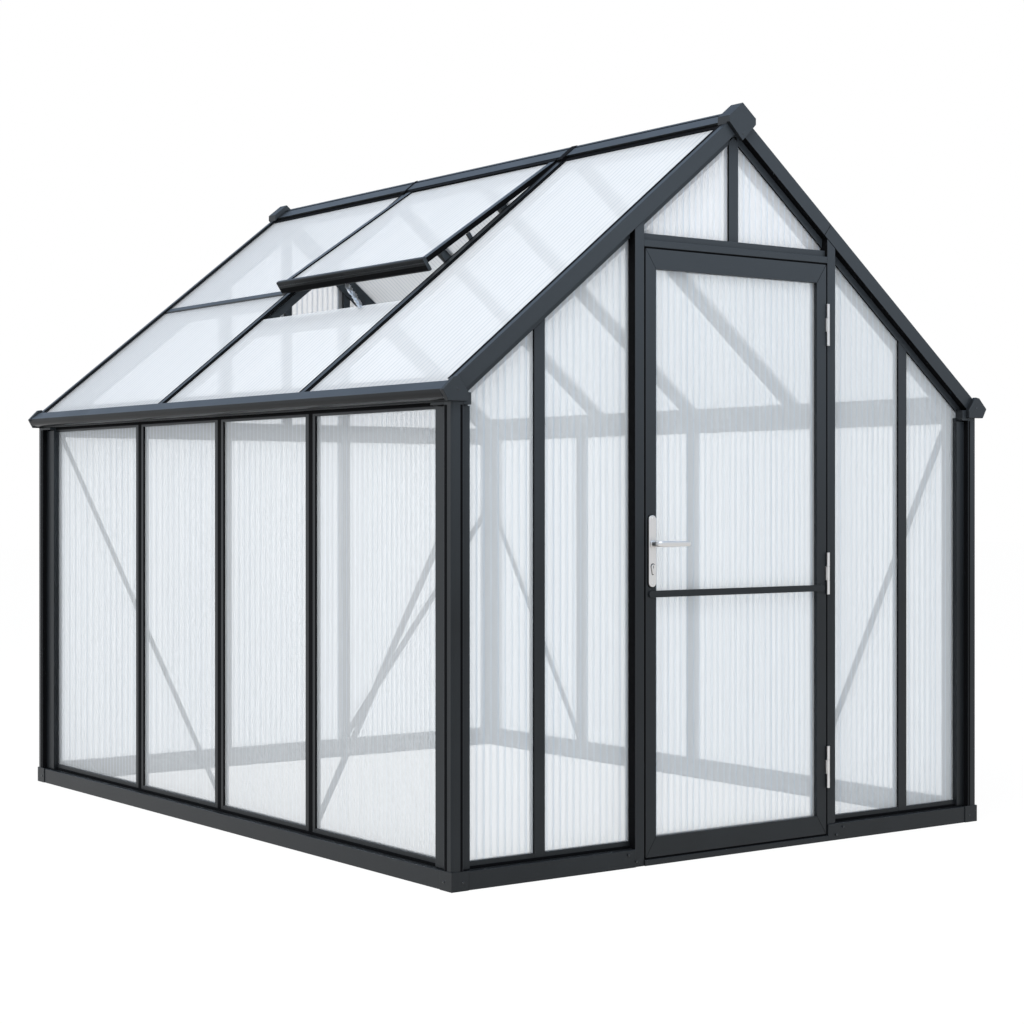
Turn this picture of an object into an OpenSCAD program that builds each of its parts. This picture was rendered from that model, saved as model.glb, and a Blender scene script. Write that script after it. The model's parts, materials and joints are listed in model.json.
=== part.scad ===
// Walk-in greenhouse: aluminium frame, twin-wall sheets, one hinged door.
// Millimetres, +Z up, origin on the ground at the centre of the footprint.
// The door gable faces -Y; offsets called "in" run inward from the outer face.

/* [Building] */
// Width over the base corner brackets
building_w = 2440; // [2300:10:2700]
// Length over the base corner brackets
building_l = 3180; // [2900:10:3600]
// Height of the roof line above the outer face of the side wall
eave_z = 1600; // [1595:1:1605]
// Roof pitch in degrees
roof_pitch = 38.8; // [37:0.1:40]

/* [Base] */
// Height of the base rails
base_h = 60; // [50:1:70]
// Width of the base rails
base_w = 65; // [65:1:80]
// Thickness of the corner bracket plate, and inset of rails and posts
bracket_t = 3; // [2:0.5:4]
// Length of each leg of the corner brackets
bracket_leg = 66; // [50:1:80]
// Height of the corner brackets
bracket_h = 62; // [50:1:70]

/* [Walls] */
// Depth from the outer face to the wall frame
frame_in = 36; // [30:1:36]
// Thickness of the cap strips in front of the sheets
cap_t = 8; // [6:1:8]
// Thickness of the twin-wall sheets
sheet_t = 8; // [6:1:10]
// Depth of the inner posts behind the sheets
inner_post_t = 16; // [12:1:20]
// Side of the square corner posts
corner_post_w = 44; // [40:1:46]
// Chamfer on the outer edge of the corner posts
corner_chamfer = 6; // [2:1:8]
// Reach of the corner post flanges along the gables
corner_reach = 88; // [80:1:95]
// Reach of the corner post flanges along the side walls
side_reach = 124; // [115:1:130]
// Depth of the grooves that hold the sheets in the corner posts
groove_depth = 18; // [10:1:20]
// Height of the rails under the sheets
low_rail_h = 24; // [20:1:30]
// Height of the rails over the sheets of the side walls
top_rail_h = 20; // [15:1:25]
// Underside of the eave beams
wall_top_z = 1540; // [1535:1:1544]
// Distance of the outer bars of the -X wall from its middle one
left_bar_pitch = 668; // [600:1:700]
// Distance of the outer bars of the +X wall from its middle one
right_bar_pitch = 790; // [700:1:800]
// Width of the side wall bars
side_bar_w = 66; // [50:1:70]
// Width of the groove down the middle of the side wall bars
side_bar_groove = 14; // [8:1:18]
// Distance of the gable bars from the middle of the gable
gable_bar_x = 848; // [780:1:880]
// Width of the gable bars and king posts
gable_bar_w = 44; // [36:1:50]
// Width of the inner posts behind the sheets
inner_post_w = 36; // [30:1:40]
// Gap between two sheets behind a bar
sheet_gap = 10; // [6:1:14]
// Distance of the back wall bars from the middle of the back wall
back_bar_x = 320; // [280:1:500]
// Height of the rail across the back wall at the eaves
back_rail_h = 80; // [60:1:90]
// Underside of the rail across the back wall
back_rail_z = 1500; // [1480:1:1510]

/* [Roof] */
// Width of the gable rafters' outer band, square to the slope
rake_band = 52; // [45:1:60]
// Width of the gable rafters' inner lip, square to the slope
rake_lip = 24; // [18:1:30]
// Reach of the gable rafters' inner flange below their lip, square to the slope
rake_flange = 26; // [20:1:30]
// Depth from the outer face to the front of the gable rafters
rake_in = 6; // [6:1:8]
// Drop of the roof sheets below the roof line, square to the slope
sheet_drop = 10; // [8:1:12]
// Place along the length of the -X slope's bar before the vent
front_roof_bar_y = -650; // [-680:1:-600]
// Place along the length of the -X slope's bar behind the vent
back_roof_bar_y = 440; // [400:1:500]
// Distance of the +X slope's outer bars from its middle one
right_roof_bar_pitch = 650; // [600:1:700]
// Distance of the last -X bay's cross bar from the outer face
cross_bar_in = 605; // [560:1:640]
// Width of the caps over the roof sheets
roof_bar_w = 44; // [36:1:50]
// Thickness of the caps over the roof sheets
roof_cap_t = 6; // [4:1:8]
// Depth of the roof bars under the sheets, square to the slope
roof_bar_d = 32; // [24:1:40]
// Half width of the ridge beam's top, across the roof
ridge_half_w = 44; // [38:1:50]
// Height of the ridge beam
ridge_h = 84; // [76:1:84]
// Half thickness of the ridge beam's stem
ridge_stem = 16; // [12:1:20]
// Half width of the ridge end caps
ridge_cap_half_w = 62; // [55:1:70]
// Rise of the ridge end caps above the roof line
ridge_cap_rise = 28; // [20:1:35]
// Height of the ridge end caps from the tip to the bottom point
ridge_cap_h = 132; // [120:1:150]
// Height of the upright sides of the ridge end caps
ridge_cap_side_h = 22; // [15:1:30]
// Length of the ridge end caps along the ridge
ridge_cap_l = 62; // [55:1:70]
// Reach of the ridge end caps beyond the outer face
ridge_cap_out = 12; // [8:1:20]

/* [Eaves] */
// Reach of the gutters beyond the outer face
gutter_out = 35; // [30:1:45]
// Underside of the gutters
gutter_z = 1546; // [1544:1:1550]
// Depth from the outer face to the eave beams
eave_beam_in = 10; // [10:1:12]
// Width of the eave beams
eave_beam_w = 52; // [45:1:60]
// Thickness of the gutter end caps
eave_cap_t = 18; // [12:1:20]
// Reach of the gutter end caps along the gable
eave_cap_in = 57; // [54:1:60]
// Rise of the gutter end caps above the eaves
eave_cap_rise = 19; // [14:1:24]
// Drop from the eaves to the head of the gutter end caps' upright side
eave_cap_side = 31; // [28:1:36]
// Height of the brackets at the heads of the corner posts
eave_bracket_h = 10; // [8:1:14]

/* [Roof vent] */
// Angle by which the vent stands open
vent_angle = 4.2; // [3.5:0.1:6]
// Length of the vent down its slope
vent_l = 745; // [700:5:760]
// Distance from the outer face to the upper edge of the sheet below the vent
vent_sill_in = 458; // [440:1:470]
// Width of the vent's side bars
vent_bar_w = 34; // [28:1:40]
// Thickness of the vent's frame
vent_t = 20; // [16:1:22]
// Side clearance of the vent in its bay
vent_side_gap = 8; // [6:1:12]
// Depth of the vent's lower bar
vent_drip_h = 50; // [44:1:52]
// Distance of the stay's foot from the bar before the vent
stay_in = 290; // [200:10:350]
// Distance by which the stay leans along the building
stay_lean = 320; // [200:10:350]
// Width of the stay
stay_w = 14; // [10:1:18]

/* [Door] */
// Width of the door leaf
leaf_w = 846; // [780:2:880]
// Clearance between the head rail over the door and the rafters
head_gap = 11; // [4:1:40]
// Thickness of the door leaf
leaf_t = 34; // [30:1:36]
// Depth from the outer face to the door leaf
leaf_in = 8; // [8:1:10]
// Running gap around the door leaf
leaf_gap = 6; // [6:0.5:8]
// Width of the door stiles
stile_w = 46; // [40:1:55]
// Height of the door's bottom and top rails
leaf_rail_h = 68; // [60:1:75]
// Height of the sill under the door
sill_h = 20; // [15:1:25]
// Width of the door jambs
jamb_w = 40; // [36:1:46]
// Height of the head rail over the door
head_h = 46; // [40:1:50]
// Set-back of the head rail's upper half
head_step = 12; // [6:1:20]
// Height of the middle of the door's cross bar
cross_bar_z = 912; // [850:1:1000]
// Width of the door's cross bar
cross_bar_h = 23; // [18:1:30]
// Height of the middle of the lowest hinge
low_hinge_z = 268; // [200:1:400]
// Height of the middle of the middle hinge
middle_hinge_z = 964; // [850:1:1150]
// Height of the middle of the highest hinge
high_hinge_z = 1858; // [1700:1:1900]
// Radius of the hinge barrels
hinge_r = 6; // [5:0.5:7]
// Length of the hinge barrels
hinge_h = 150; // [120:2:180]
// Radius of the hinge pins
pin_r = 3; // [2.5:0.1:3.5]

/* [Handle] */
// Height of the lever's spindle
lever_z = 1081; // [1000:1:1150]
// Distance of the spindle from the edge of the leaf
spindle_in = 25; // [22:1:30]
// Width of the handle's back plates
plate_w = 32; // [28:1:36]
// Height of the handle's back plates
plate_h = 242; // [200:1:260]
// Thickness of the handle's back plates
plate_t = 8; // [6:1:10]
// Length of the levers
lever_l = 130; // [110:1:140]
// Thickness of the lever bars
lever_t = 14; // [10:1:18]
// Distance from the back plates to the lever bars
lever_out = 34; // [30:1:45]

/* [Braces] */
// Width of the flat wall braces
brace_w = 30; // [20:1:40]
// Thickness of the flat wall braces
brace_t = 3; // [2:0.5:5]
// Distance of the braces' ends from the top and the foot of the wall
brace_end_gap = 50; // [30:1:80]
// Height of the upper ends of the braces that start half way up
brace_middle_z = 1180; // [1000:10:1300]

/* [Hidden] */
$fn = 48;
// Gap left between sloping or curved neighbours
slip = 0.3;
half_w = building_w / 2;
half_l = building_l / 2;
tan_p = tan(roof_pitch);
cos_p = cos(roof_pitch);
sheet_in = frame_in + cap_t;
post_in = sheet_in + sheet_t;
post_back = post_in + inner_post_t;
rail_back = post_in + 8;
post_edge = bracket_t + corner_post_w;
rail_top = base_h + low_rail_h;
sheet_top = wall_top_z - top_rail_h;
flange_t = 6;
rake_back = post_back + slip + flange_t;
// Drops below the roof line, measured upright
band_drop = rake_band / cos_p;
lip_drop = (rake_band + rake_lip) / cos_p;
sheet_top_drop = sheet_drop / cos_p;
sheet_low_drop = (sheet_drop + sheet_t) / cos_p;
groove_drop = lip_drop - 12;
flange_drop = lip_drop + rake_flange / cos_p;
cap_groove = 5;
cap_top_drop = (sheet_drop - roof_cap_t) / cos_p;
bar_low_drop = (sheet_drop + sheet_t + roof_bar_d) / cos_p;
door_half = leaf_w / 2 + leaf_gap;
jamb_out = door_half + jamb_w;
// The door is as high as the gable lets it be
head_top = floor(roof_z(door_half) - lip_drop) - head_gap;
head_low = head_top - head_h;
leaf_low = sill_h + leaf_gap;
leaf_top = head_low - leaf_gap;
far_past = 3 * building_w;

function roof_z(x) = eave_z + (half_w - abs(x)) * tan_p;

module block(low, high) {
    translate(low) cube(high - low);
}

// An outline in X and Z, drawn out along Y.
module along_y(y0, y1) {
    translate([0, y1, 0]) rotate([90, 0, 0]) linear_extrude(y1 - y0) children();
}

// An outline in Y and Z, drawn out along X.
module along_x(x0, x1) {
    translate([x0, 0, 0]) rotate([90, 0, 90]) linear_extrude(x1 - x0) children();
}

module both_sides() {
    children();
    mirror([1, 0, 0]) children();
}

module both_ends() {
    children();
    mirror([0, 1, 0]) children();
}

// A slab of the -X roof slope between two drops, from x0 up to x1.
module slope_slab(x0, x1, drop_low, drop_high) {
    polygon([
        [x0, roof_z(x0) - drop_low], [x1, roof_z(x1) - drop_low],
        [x1, roof_z(x1) - drop_high], [x0, roof_z(x0) - drop_high]
    ]);
}

// The gable's outline below a drop, from the ground up.
module gable_outline(drop) {
    polygon([
        [-half_w, 0], [half_w, 0], [half_w, roof_z(half_w) - drop],
        [0, roof_z(0) - drop], [-half_w, roof_z(half_w) - drop]
    ]);
}

// A rectangle in X and Z cut off under the rafters.
module under_roof(x0, x1, z0, drop) {
    intersection() {
        translate([x0, z0]) square([x1 - x0, far_past]);
        gable_outline(drop);
    }
}

// ---- Base ----

module base_side_rails() {
    color("#3c4044")
        both_sides()
            block([-half_w + bracket_t, -half_l + bracket_t, 0],
                  [-half_w + bracket_t + base_w, half_l - bracket_t, base_h]);
}

module base_end_rails() {
    inner = half_w - bracket_t - base_w;
    color("#3c4044") {
        block([-inner, -half_l + bracket_t, 0],
              [-jamb_out, -half_l + bracket_t + base_w, base_h]);
        block([door_half, -half_l + bracket_t, 0],
              [inner, -half_l + bracket_t + base_w, base_h]);
        block([-inner, half_l - bracket_t - base_w, 0],
              [inner, half_l - bracket_t, base_h]);
    }
}

module base_corner_brackets() {
    color("#3c4044")
        both_sides() both_ends()
            translate([-half_w, -half_l, 0]) linear_extrude(bracket_h)
                difference() {
                    square(bracket_leg);
                    translate([bracket_t, bracket_t]) square(bracket_leg);
                }
}

module door_sill() {
    color("#3c4044")
        block([-door_half, -half_l + bracket_t, 0],
              [door_half, -half_l + bracket_t + base_w, sill_h]);
}

// ---- Walls ----

// Plan of the -X, -Y corner post: a square tube with a grooved flange to each wall.
module corner_plan() {
    difference() {
        union() {
            translate([bracket_t, bracket_t]) square(corner_post_w);
            translate([frame_in, frame_in]) square(rail_back - frame_in);
            translate([post_edge, frame_in]) square([corner_reach - post_edge, rail_back - frame_in]);
            translate([frame_in, post_edge]) square([rail_back - frame_in, side_reach - post_edge]);
        }
        translate([corner_reach - groove_depth, sheet_in]) square([corner_reach, sheet_t]);
        translate([sheet_in, side_reach - groove_depth]) square([sheet_t, side_reach]);
        translate([bracket_t, bracket_t]) rotate(45) square(corner_chamfer * sqrt(2), center = true);
    }
}

module corner_posts() {
    color("#34373a")
        both_sides() both_ends()
            translate([-half_w, -half_l, base_h]) linear_extrude(wall_top_z - base_h) corner_plan();
}

left_bar_ys = [-left_bar_pitch, 0, left_bar_pitch];
right_bar_ys = [-right_bar_pitch, 0, right_bar_pitch];

// The stretches between bars along a wall that runs from -reach to reach.
function edges(places, reach) = [-reach, for (place = places) place, reach];

// Rails of the -X wall, in pieces between its bars.
module side_rails(ys) {
    ends = edges(ys, half_l - side_reach);
    for (i = [0 : 3]) {
        y0 = ends[i] + (i > 0 ? side_bar_w / 2 : 0);
        y1 = ends[i + 1] - (i < 3 ? side_bar_w / 2 : 0);
        block([-half_w + frame_in, y0, base_h], [-half_w + rail_back, y1, rail_top]);
        block([-half_w + frame_in, y0, sheet_top], [-half_w + rail_back, y1, wall_top_z]);
    }
}

module side_wall_rails() {
    color("#3c4044") {
        side_rails(left_bar_ys);
        mirror([1, 0, 0]) side_rails(right_bar_ys);
    }
}

// Plan of a grooved cap strip, its face towards -X.
module cap_plan() {
    difference() {
        translate([0, -side_bar_w / 2]) square([cap_t, side_bar_w]);
        translate([-cap_t, -side_bar_groove / 2]) square([cap_t + cap_groove, side_bar_groove]);
    }
}

module side_caps(ys) {
    for (y = ys)
        translate([-half_w + frame_in, y, base_h]) linear_extrude(wall_top_z - base_h) cap_plan();
}

module side_wall_bar_caps() {
    color("#34373a") {
        side_caps(left_bar_ys);
        mirror([1, 0, 0]) side_caps(right_bar_ys);
    }
}

module side_posts(ys) {
    for (y = ys)
        block([-half_w + post_in, y - inner_post_w / 2, base_h],
              [-half_w + post_back, y + inner_post_w / 2, wall_top_z]);
}

module side_wall_posts() {
    color("#34373a") {
        side_posts(left_bar_ys);
        mirror([1, 0, 0]) side_posts(right_bar_ys);
    }
}

module front_wall_rails() {
    bar_edge = gable_bar_x + gable_bar_w / 2;
    color("#3c4044")
        both_sides() {
            block([-half_w + corner_reach, -half_l + frame_in, base_h],
                  [-bar_edge, -half_l + rail_back, rail_top]);
            block([-bar_edge + gable_bar_w, -half_l + frame_in, base_h],
                  [-jamb_out, -half_l + rail_back, rail_top]);
        }
}

// Upright bar of a gable, from z0 up to the rafters.
module gable_upright(x, z0, width) {
    under_roof(x - width / 2, x + width / 2, z0, lip_drop + slip);
}

// The bar in the middle of a gable, which reaches up between the rafters' lips.
module king_bar(z0) {
    under_roof(-gable_bar_w / 2, gable_bar_w / 2, z0, groove_drop + slip);
}

module front_wall_bar_caps() {
    color("#34373a")
        along_y(-half_l + frame_in, -half_l + sheet_in) {
            gable_upright(-gable_bar_x, base_h, gable_bar_w);
            gable_upright(gable_bar_x, base_h, gable_bar_w);
            king_bar(head_top);
        }
}

module front_wall_posts() {
    color("#34373a")
        along_y(-half_l + post_in, -half_l + post_back) {
            gable_upright(-gable_bar_x, base_h, inner_post_w);
            gable_upright(gable_bar_x, base_h, inner_post_w);
            gable_upright(0, head_top, inner_post_w);
        }
}

back_bar_xs = [-back_bar_x, back_bar_x];
back_edges = [-half_w + corner_reach, -back_bar_x, back_bar_x, half_w - corner_reach];
back_rail_top = back_rail_z + back_rail_h;

// Lower and eaves rails between the bars of the back wall.
module back_wall_rails() {
    color("#3c4044")
        along_y(half_l - rail_back, half_l - frame_in)
            for (i = [0 : 2]) {
                x0 = back_edges[i] + (i > 0 ? side_bar_w / 2 : 0);
                x1 = back_edges[i + 1] - (i < 2 ? side_bar_w / 2 : 0);
                translate([x0, base_h]) square([x1 - x0, low_rail_h]);
                intersection() {
                    translate([x0, back_rail_z]) square([x1 - x0, back_rail_h]);
                    gable_outline(lip_drop + slip);
                }
            }
}

module back_wall_bar_caps() {
    color("#34373a")
        along_y(half_l - sheet_in, half_l - frame_in) {
            for (x = back_bar_xs) gable_upright(x, base_h, side_bar_w);
            king_bar(back_rail_top);
        }
}

module back_wall_posts() {
    color("#34373a")
        along_y(half_l - post_back, half_l - post_in) {
            for (x = back_bar_xs) gable_upright(x, base_h, inner_post_w);
            gable_upright(0, back_rail_top, inner_post_w);
        }
}

// A door jamb beside x = -door_half, from z0 up to the rafter.
module jamb(z0) {
    along_y(-half_l + leaf_in, -half_l + frame_in - slip)
        under_roof(-jamb_out, -door_half, z0, band_drop + slip);
    along_y(-half_l + frame_in - slip, -half_l + rail_back)
        under_roof(-jamb_out, -door_half, z0, lip_drop + slip);
}

// The jamb on the handle side reaches the ground; the other stands on the base rail.
module door_jambs() {
    color("#34373a") {
        jamb(0);
        mirror([1, 0, 0]) jamb(base_h);
    }
}

// A rail with a proud lower half and a ledge above it.
module door_head_rail() {
    ledge_z = head_low + head_h / 2;
    color("#34373a") {
        block([-door_half, -half_l + leaf_in, head_low],
              [door_half, -half_l + rail_back, ledge_z]);
        block([-door_half, -half_l + leaf_in + head_step, ledge_z],
              [door_half, -half_l + rail_back, head_top]);
    }
}

module side_sheets(ys) {
    ends = edges(ys, half_l - side_reach);
    for (i = [0 : 3]) {
        y0 = ends[i] + (i > 0 ? sheet_gap / 2 : slip - groove_depth);
        y1 = ends[i + 1] - (i < 3 ? sheet_gap / 2 : slip - groove_depth);
        block([-half_w + sheet_in, y0, rail_top], [-half_w + post_in, y1, sheet_top]);
    }
}

module side_wall_sheets() {
    color("#e8edf2") {
        side_sheets(left_bar_ys);
        mirror([1, 0, 0]) side_sheets(right_bar_ys);
    }
}

module front_wall_sheets() {
    color("#e8edf2")
        both_sides()
            along_y(-half_l + sheet_in, -half_l + post_in) {
                under_roof(-half_w + corner_reach - groove_depth + slip,
                           -gable_bar_x - sheet_gap / 2, rail_top, groove_drop + slip);
                under_roof(-gable_bar_x + sheet_gap / 2, -jamb_out, rail_top, groove_drop + slip);
            }
}

module front_gable_sheets() {
    color("#e8edf2")
        both_sides()
            along_y(-half_l + sheet_in, -half_l + post_in)
                under_roof(-door_half, -sheet_gap / 2, head_top, groove_drop + slip);
}

module back_wall_sheets() {
    color("#e8edf2")
        for (i = [0 : 2]) {
            x0 = back_edges[i] + (i > 0 ? sheet_gap / 2 : slip - groove_depth);
            x1 = back_edges[i + 1] - (i < 2 ? sheet_gap / 2 : slip - groove_depth);
            block([x0, half_l - post_in, rail_top], [x1, half_l - sheet_in, back_rail_z]);
        }
}

module back_gable_sheets() {
    xs = [-half_w + eave_beam_end, -back_bar_x, 0];
    color("#e8edf2")
        both_sides()
            along_y(half_l - post_in, half_l - sheet_in)
                for (i = [0 : 1])
                    under_roof(xs[i] + sheet_gap / 2, xs[i + 1] - sheet_gap / 2,
                               back_rail_top, groove_drop + slip);
}

// ---- Eaves and roof ----

eave_beam_end = eave_beam_in + eave_beam_w;

module eave_beams() {
    x0 = -half_w + eave_beam_in;
    x1 = -half_w + eave_beam_end;
    color("#3c4044")
        both_sides()
            along_y(-half_l + frame_in, half_l - frame_in)
                polygon([
                    [x0, wall_top_z], [x1, wall_top_z],
                    [x1, roof_z(x1) - sheet_low_drop - slip],
                    [x0, roof_z(x0) - sheet_low_drop - slip]
                ]);
}

// Closed gutter section: a lid that slopes like the roof and a rounded belly.
module gutters() {
    lip_z = eave_z + 5;
    crease_z = lip_z - (gutter_out - 1) * tan_p;
    belly_r = 22;
    color("#3c4044")
        both_sides()
            along_y(-half_l + rake_in, half_l - rake_in)
                translate([-half_w, 0]) {
                    polygon([
                        [-gutter_out, crease_z], [0, lip_z], [eave_beam_in, lip_z],
                        [eave_beam_in, gutter_z], [belly_r - gutter_out, gutter_z],
                        for (a = [75 : -15 : 0])
                            [belly_r - gutter_out - belly_r * cos(a),
                             gutter_z + belly_r - belly_r * sin(a)]
                    ]);
                }
}

// Six-sided plates over the gutters' ends, level with the heads of the corner posts.
module gutter_end_caps() {
    outer = gutter_out + 6;
    top_z = eave_z + eave_cap_rise;
    color("#34373a")
        both_sides() both_ends()
            along_y(-half_l + rake_in - eave_cap_t, -half_l + rake_in)
                translate([-half_w, 0])
                    polygon([
                        [eave_cap_in, wall_top_z], [eave_cap_in, eave_z - eave_cap_side],
                        [eave_cap_in / 3, top_z], [0, top_z - 3],
                        [-outer, wall_top_z + gutter_out], [-outer / 2, wall_top_z]
                    ]);
}

// Blocks that fill the recesses at the head of each corner post, beside the end caps.
module eave_brackets() {
    low_z = wall_top_z - eave_bracket_h;
    cap_edge = eave_cap_in + slip;
    color("#34373a")
        both_sides() both_ends()
            translate([-half_w, -half_l, 0]) {
                block([post_edge, bracket_t, low_z], [cap_edge, frame_in, wall_top_z]);
                block([cap_edge, bracket_t, low_z],
                      [corner_reach - eave_bracket_h, frame_in, eave_z - eave_cap_side]);
                block([bracket_t, post_edge, low_z], [frame_in, side_reach, wall_top_z]);
            }
}

// One solid for each half gable: outer band, body under the sheets, lips on both faces
// of the wall, and a flange behind the posts.
module gable_rafters() {
    x0 = -half_w + eave_beam_in;
    x1 = -half_w + eave_beam_end + slip;
    x2 = -ridge_stem - slip;
    lip_x0 = x1 + 12;
    lip_x1 = -gable_bar_w / 2 - slip;
    color("#34373a")
        both_sides() both_ends() {
            along_y(-half_l + rake_in, -half_l + frame_in) slope_slab(x0, -1, band_drop, 0);
            along_y(-half_l + frame_in, -half_l + rake_back)
                slope_slab(x1, x2, groove_drop, sheet_low_drop + slip);
            along_y(-half_l + frame_in, -half_l + sheet_in)
                slope_slab(lip_x0, lip_x1, lip_drop, groove_drop);
            along_y(-half_l + post_in, -half_l + post_back + slip)
                slope_slab(lip_x0, lip_x1, lip_drop, groove_drop);
            along_y(-half_l + post_back + slip, -half_l + rake_back)
                slope_slab(lip_x0, lip_x1, flange_drop, groove_drop);
        }
}

// T section: two wings over the sheets' upper edges and a stem between them.
module ridge_beam() {
    top_z = roof_z(0);
    side_z = roof_z(ridge_half_w);
    wing_drop = sheet_top_drop - slip;
    color("#3c4044")
        along_y(-half_l + frame_in, half_l - frame_in)
            polygon([
                [0, top_z], [ridge_half_w, side_z], [ridge_half_w, side_z - wing_drop],
                [ridge_stem, roof_z(ridge_stem) - wing_drop], [ridge_stem, top_z - ridge_h],
                [-ridge_stem, top_z - ridge_h], [-ridge_stem, roof_z(ridge_stem) - wing_drop],
                [-ridge_half_w, side_z - wing_drop], [-ridge_half_w, side_z]
            ]);
}

// A pointed face plate with a hood behind it that covers the rafters' joint.
module ridge_end_caps() {
    tip = roof_z(0) + ridge_cap_rise;
    shoulder = tip - ridge_cap_half_w * tan_p;
    low = shoulder - ridge_cap_side_h;
    hood_low = roof_z(ridge_cap_half_w) + slip;
    color("#34373a")
        both_ends() {
            along_y(-half_l - ridge_cap_out, -half_l + rake_in)
                polygon([
                    [0, tip], [ridge_cap_half_w, shoulder], [ridge_cap_half_w, low],
                    [0, tip - ridge_cap_h], [-ridge_cap_half_w, low], [-ridge_cap_half_w, shoulder]
                ]);
            along_y(-half_l + rake_in, -half_l - ridge_cap_out + ridge_cap_l)
                polygon([
                    [0, tip], [ridge_cap_half_w, shoulder], [ridge_cap_half_w, hood_low],
                    [0, roof_z(0) + slip], [-ridge_cap_half_w, hood_low],
                    [-ridge_cap_half_w, shoulder]
                ]);
        }
}

left_roof_bar_ys = [front_roof_bar_y, back_roof_bar_y];
right_roof_bar_ys = [-right_roof_bar_pitch, 0, right_roof_bar_pitch];

// Bars of the -X slope under the sheets.
module slope_bars(ys) {
    for (y = ys)
        along_y(y - inner_post_w / 2, y + inner_post_w / 2)
            slope_slab(-half_w + eave_beam_end + slip, -ridge_stem - slip,
                       bar_low_drop, sheet_low_drop + slip);
}

module roof_bars() {
    color("#3c4044") {
        slope_bars(left_roof_bar_ys);
        mirror([1, 0, 0]) slope_bars(right_roof_bar_ys);
    }
}

// Strips of the -X slope over the joints between sheets.
module slope_caps(ys) {
    for (y = ys)
        along_y(y - roof_bar_w / 2, y + roof_bar_w / 2)
            slope_slab(-half_w + eave_beam_in + slip, -ridge_half_w - slip,
                       sheet_top_drop - slip, cap_top_drop);
}

module roof_bar_caps() {
    color("#34373a") {
        slope_caps(left_roof_bar_ys);
        mirror([1, 0, 0]) slope_caps(right_roof_bar_ys);
    }
}

// Bars across two bays of the -X slope: under the vent's opening, and in the last bay.
module roof_cross_bars() {
    bar_w = 28;
    cap_w = 20;
    sill_x = -half_w + vent_sill_in;
    cross_x = -half_w + cross_bar_in;
    bar_side = inner_post_w / 2 + slip;
    cap_side = roof_bar_w / 2 + slip;
    last_y = half_l - rake_back - slip;
    color("#3c4044") {
        along_y(front_roof_bar_y + bar_side, back_roof_bar_y - bar_side)
            slope_slab(sill_x - bar_w, sill_x, bar_low_drop, sheet_low_drop + slip);
        along_y(back_roof_bar_y + bar_side, last_y)
            slope_slab(cross_x - bar_w / 2, cross_x + bar_w / 2,
                       bar_low_drop, sheet_low_drop + slip);
        along_y(back_roof_bar_y + cap_side, half_l - frame_in - slip)
            slope_slab(cross_x - cap_w / 2, cross_x + cap_w / 2,
                       sheet_top_drop - slip, cap_top_drop);
    }
}

// A roof sheet on the -X slope between two places along the building.
module roof_sheet(y0, y1, x1) {
    along_y(y0, y1)
        slope_slab(-half_w + eave_beam_in + slip, x1, sheet_low_drop, sheet_top_drop);
}

module roof_sheets() {
    edge = half_l - frame_in - slip;
    side = sheet_gap / 2;
    top_x = -ridge_stem - slip;
    ends = edges(right_roof_bar_ys, edge);
    color("#e8edf2") {
        roof_sheet(-edge, front_roof_bar_y - side, top_x);
        roof_sheet(front_roof_bar_y + side, back_roof_bar_y - side, -half_w + vent_sill_in);
        roof_sheet(back_roof_bar_y + side, edge, top_x);
        mirror([1, 0, 0])
            for (i = [0 : 3])
                roof_sheet(ends[i] + (i > 0 ? side : 0), ends[i + 1] - (i < 3 ? side : 0), top_x);
    }
}

// ---- Vent, standing open on its ridge hinge ----

vent_pivot_x = ridge_half_w + 8;
vent_slope = roof_pitch - vent_angle;
vent_y0 = front_roof_bar_y + roof_bar_w / 2 + vent_side_gap;
vent_y1 = back_roof_bar_y - roof_bar_w / 2 - vent_side_gap;
vent_top_w = 16;

// Turns the vent's own frame, with -X down its slope, into the building's.
module vent_place() {
    translate([-vent_pivot_x, 0, roof_z(vent_pivot_x)]) rotate([0, -vent_slope, 0]) children();
}

// Place in X and Z of a point s down the open vent and n above its outer face.
function vent_point(s, n) = [
    -vent_pivot_x - s * cos(vent_slope) - n * sin(vent_slope),
    roof_z(vent_pivot_x) - s * sin(vent_slope) + n * cos(vent_slope)
];

// Side bars, and a slim bar along the ridge between them.
module vent_frame() {
    color("#34373a")
        vent_place() {
            block([-vent_l, vent_y0, -vent_t], [0, vent_y0 + vent_bar_w, 0]);
            block([-vent_l, vent_y1 - vent_bar_w, -vent_t], [0, vent_y1, 0]);
            block([-vent_top_w, vent_y0 + vent_bar_w + slip, -vent_t],
                  [0, vent_y1 - vent_bar_w - slip, 0]);
        }
}

// A deep bar along the lower edge that reaches over the roof bar behind the vent.
module vent_lower_bar() {
    along = 16;
    round_r = 6;
    color("#2b2e31")
        vent_place()
            along_y(vent_y0, back_roof_bar_y + roof_bar_w / 4)
                translate([-vent_l - slip - along, 0]) {
                    translate([0, -vent_drip_h + round_r]) square([along, vent_drip_h - round_r]);
                    translate([round_r, -vent_drip_h]) square([along - round_r, vent_drip_h]);
                    translate([round_r, -vent_drip_h + round_r]) circle(round_r);
                    translate([round_r, 0]) circle(round_r);
                    translate([round_r, 0]) square([along - round_r, round_r]);
                }
}

module vent_sheet() {
    low = (vent_t - sheet_t) / 2;
    color("#e8edf2")
        vent_place()
            block([-vent_l, vent_y0 + vent_bar_w + slip, -low - sheet_t],
                  [-vent_top_w - slip, vent_y1 - vent_bar_w - slip, -low]);
}

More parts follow.
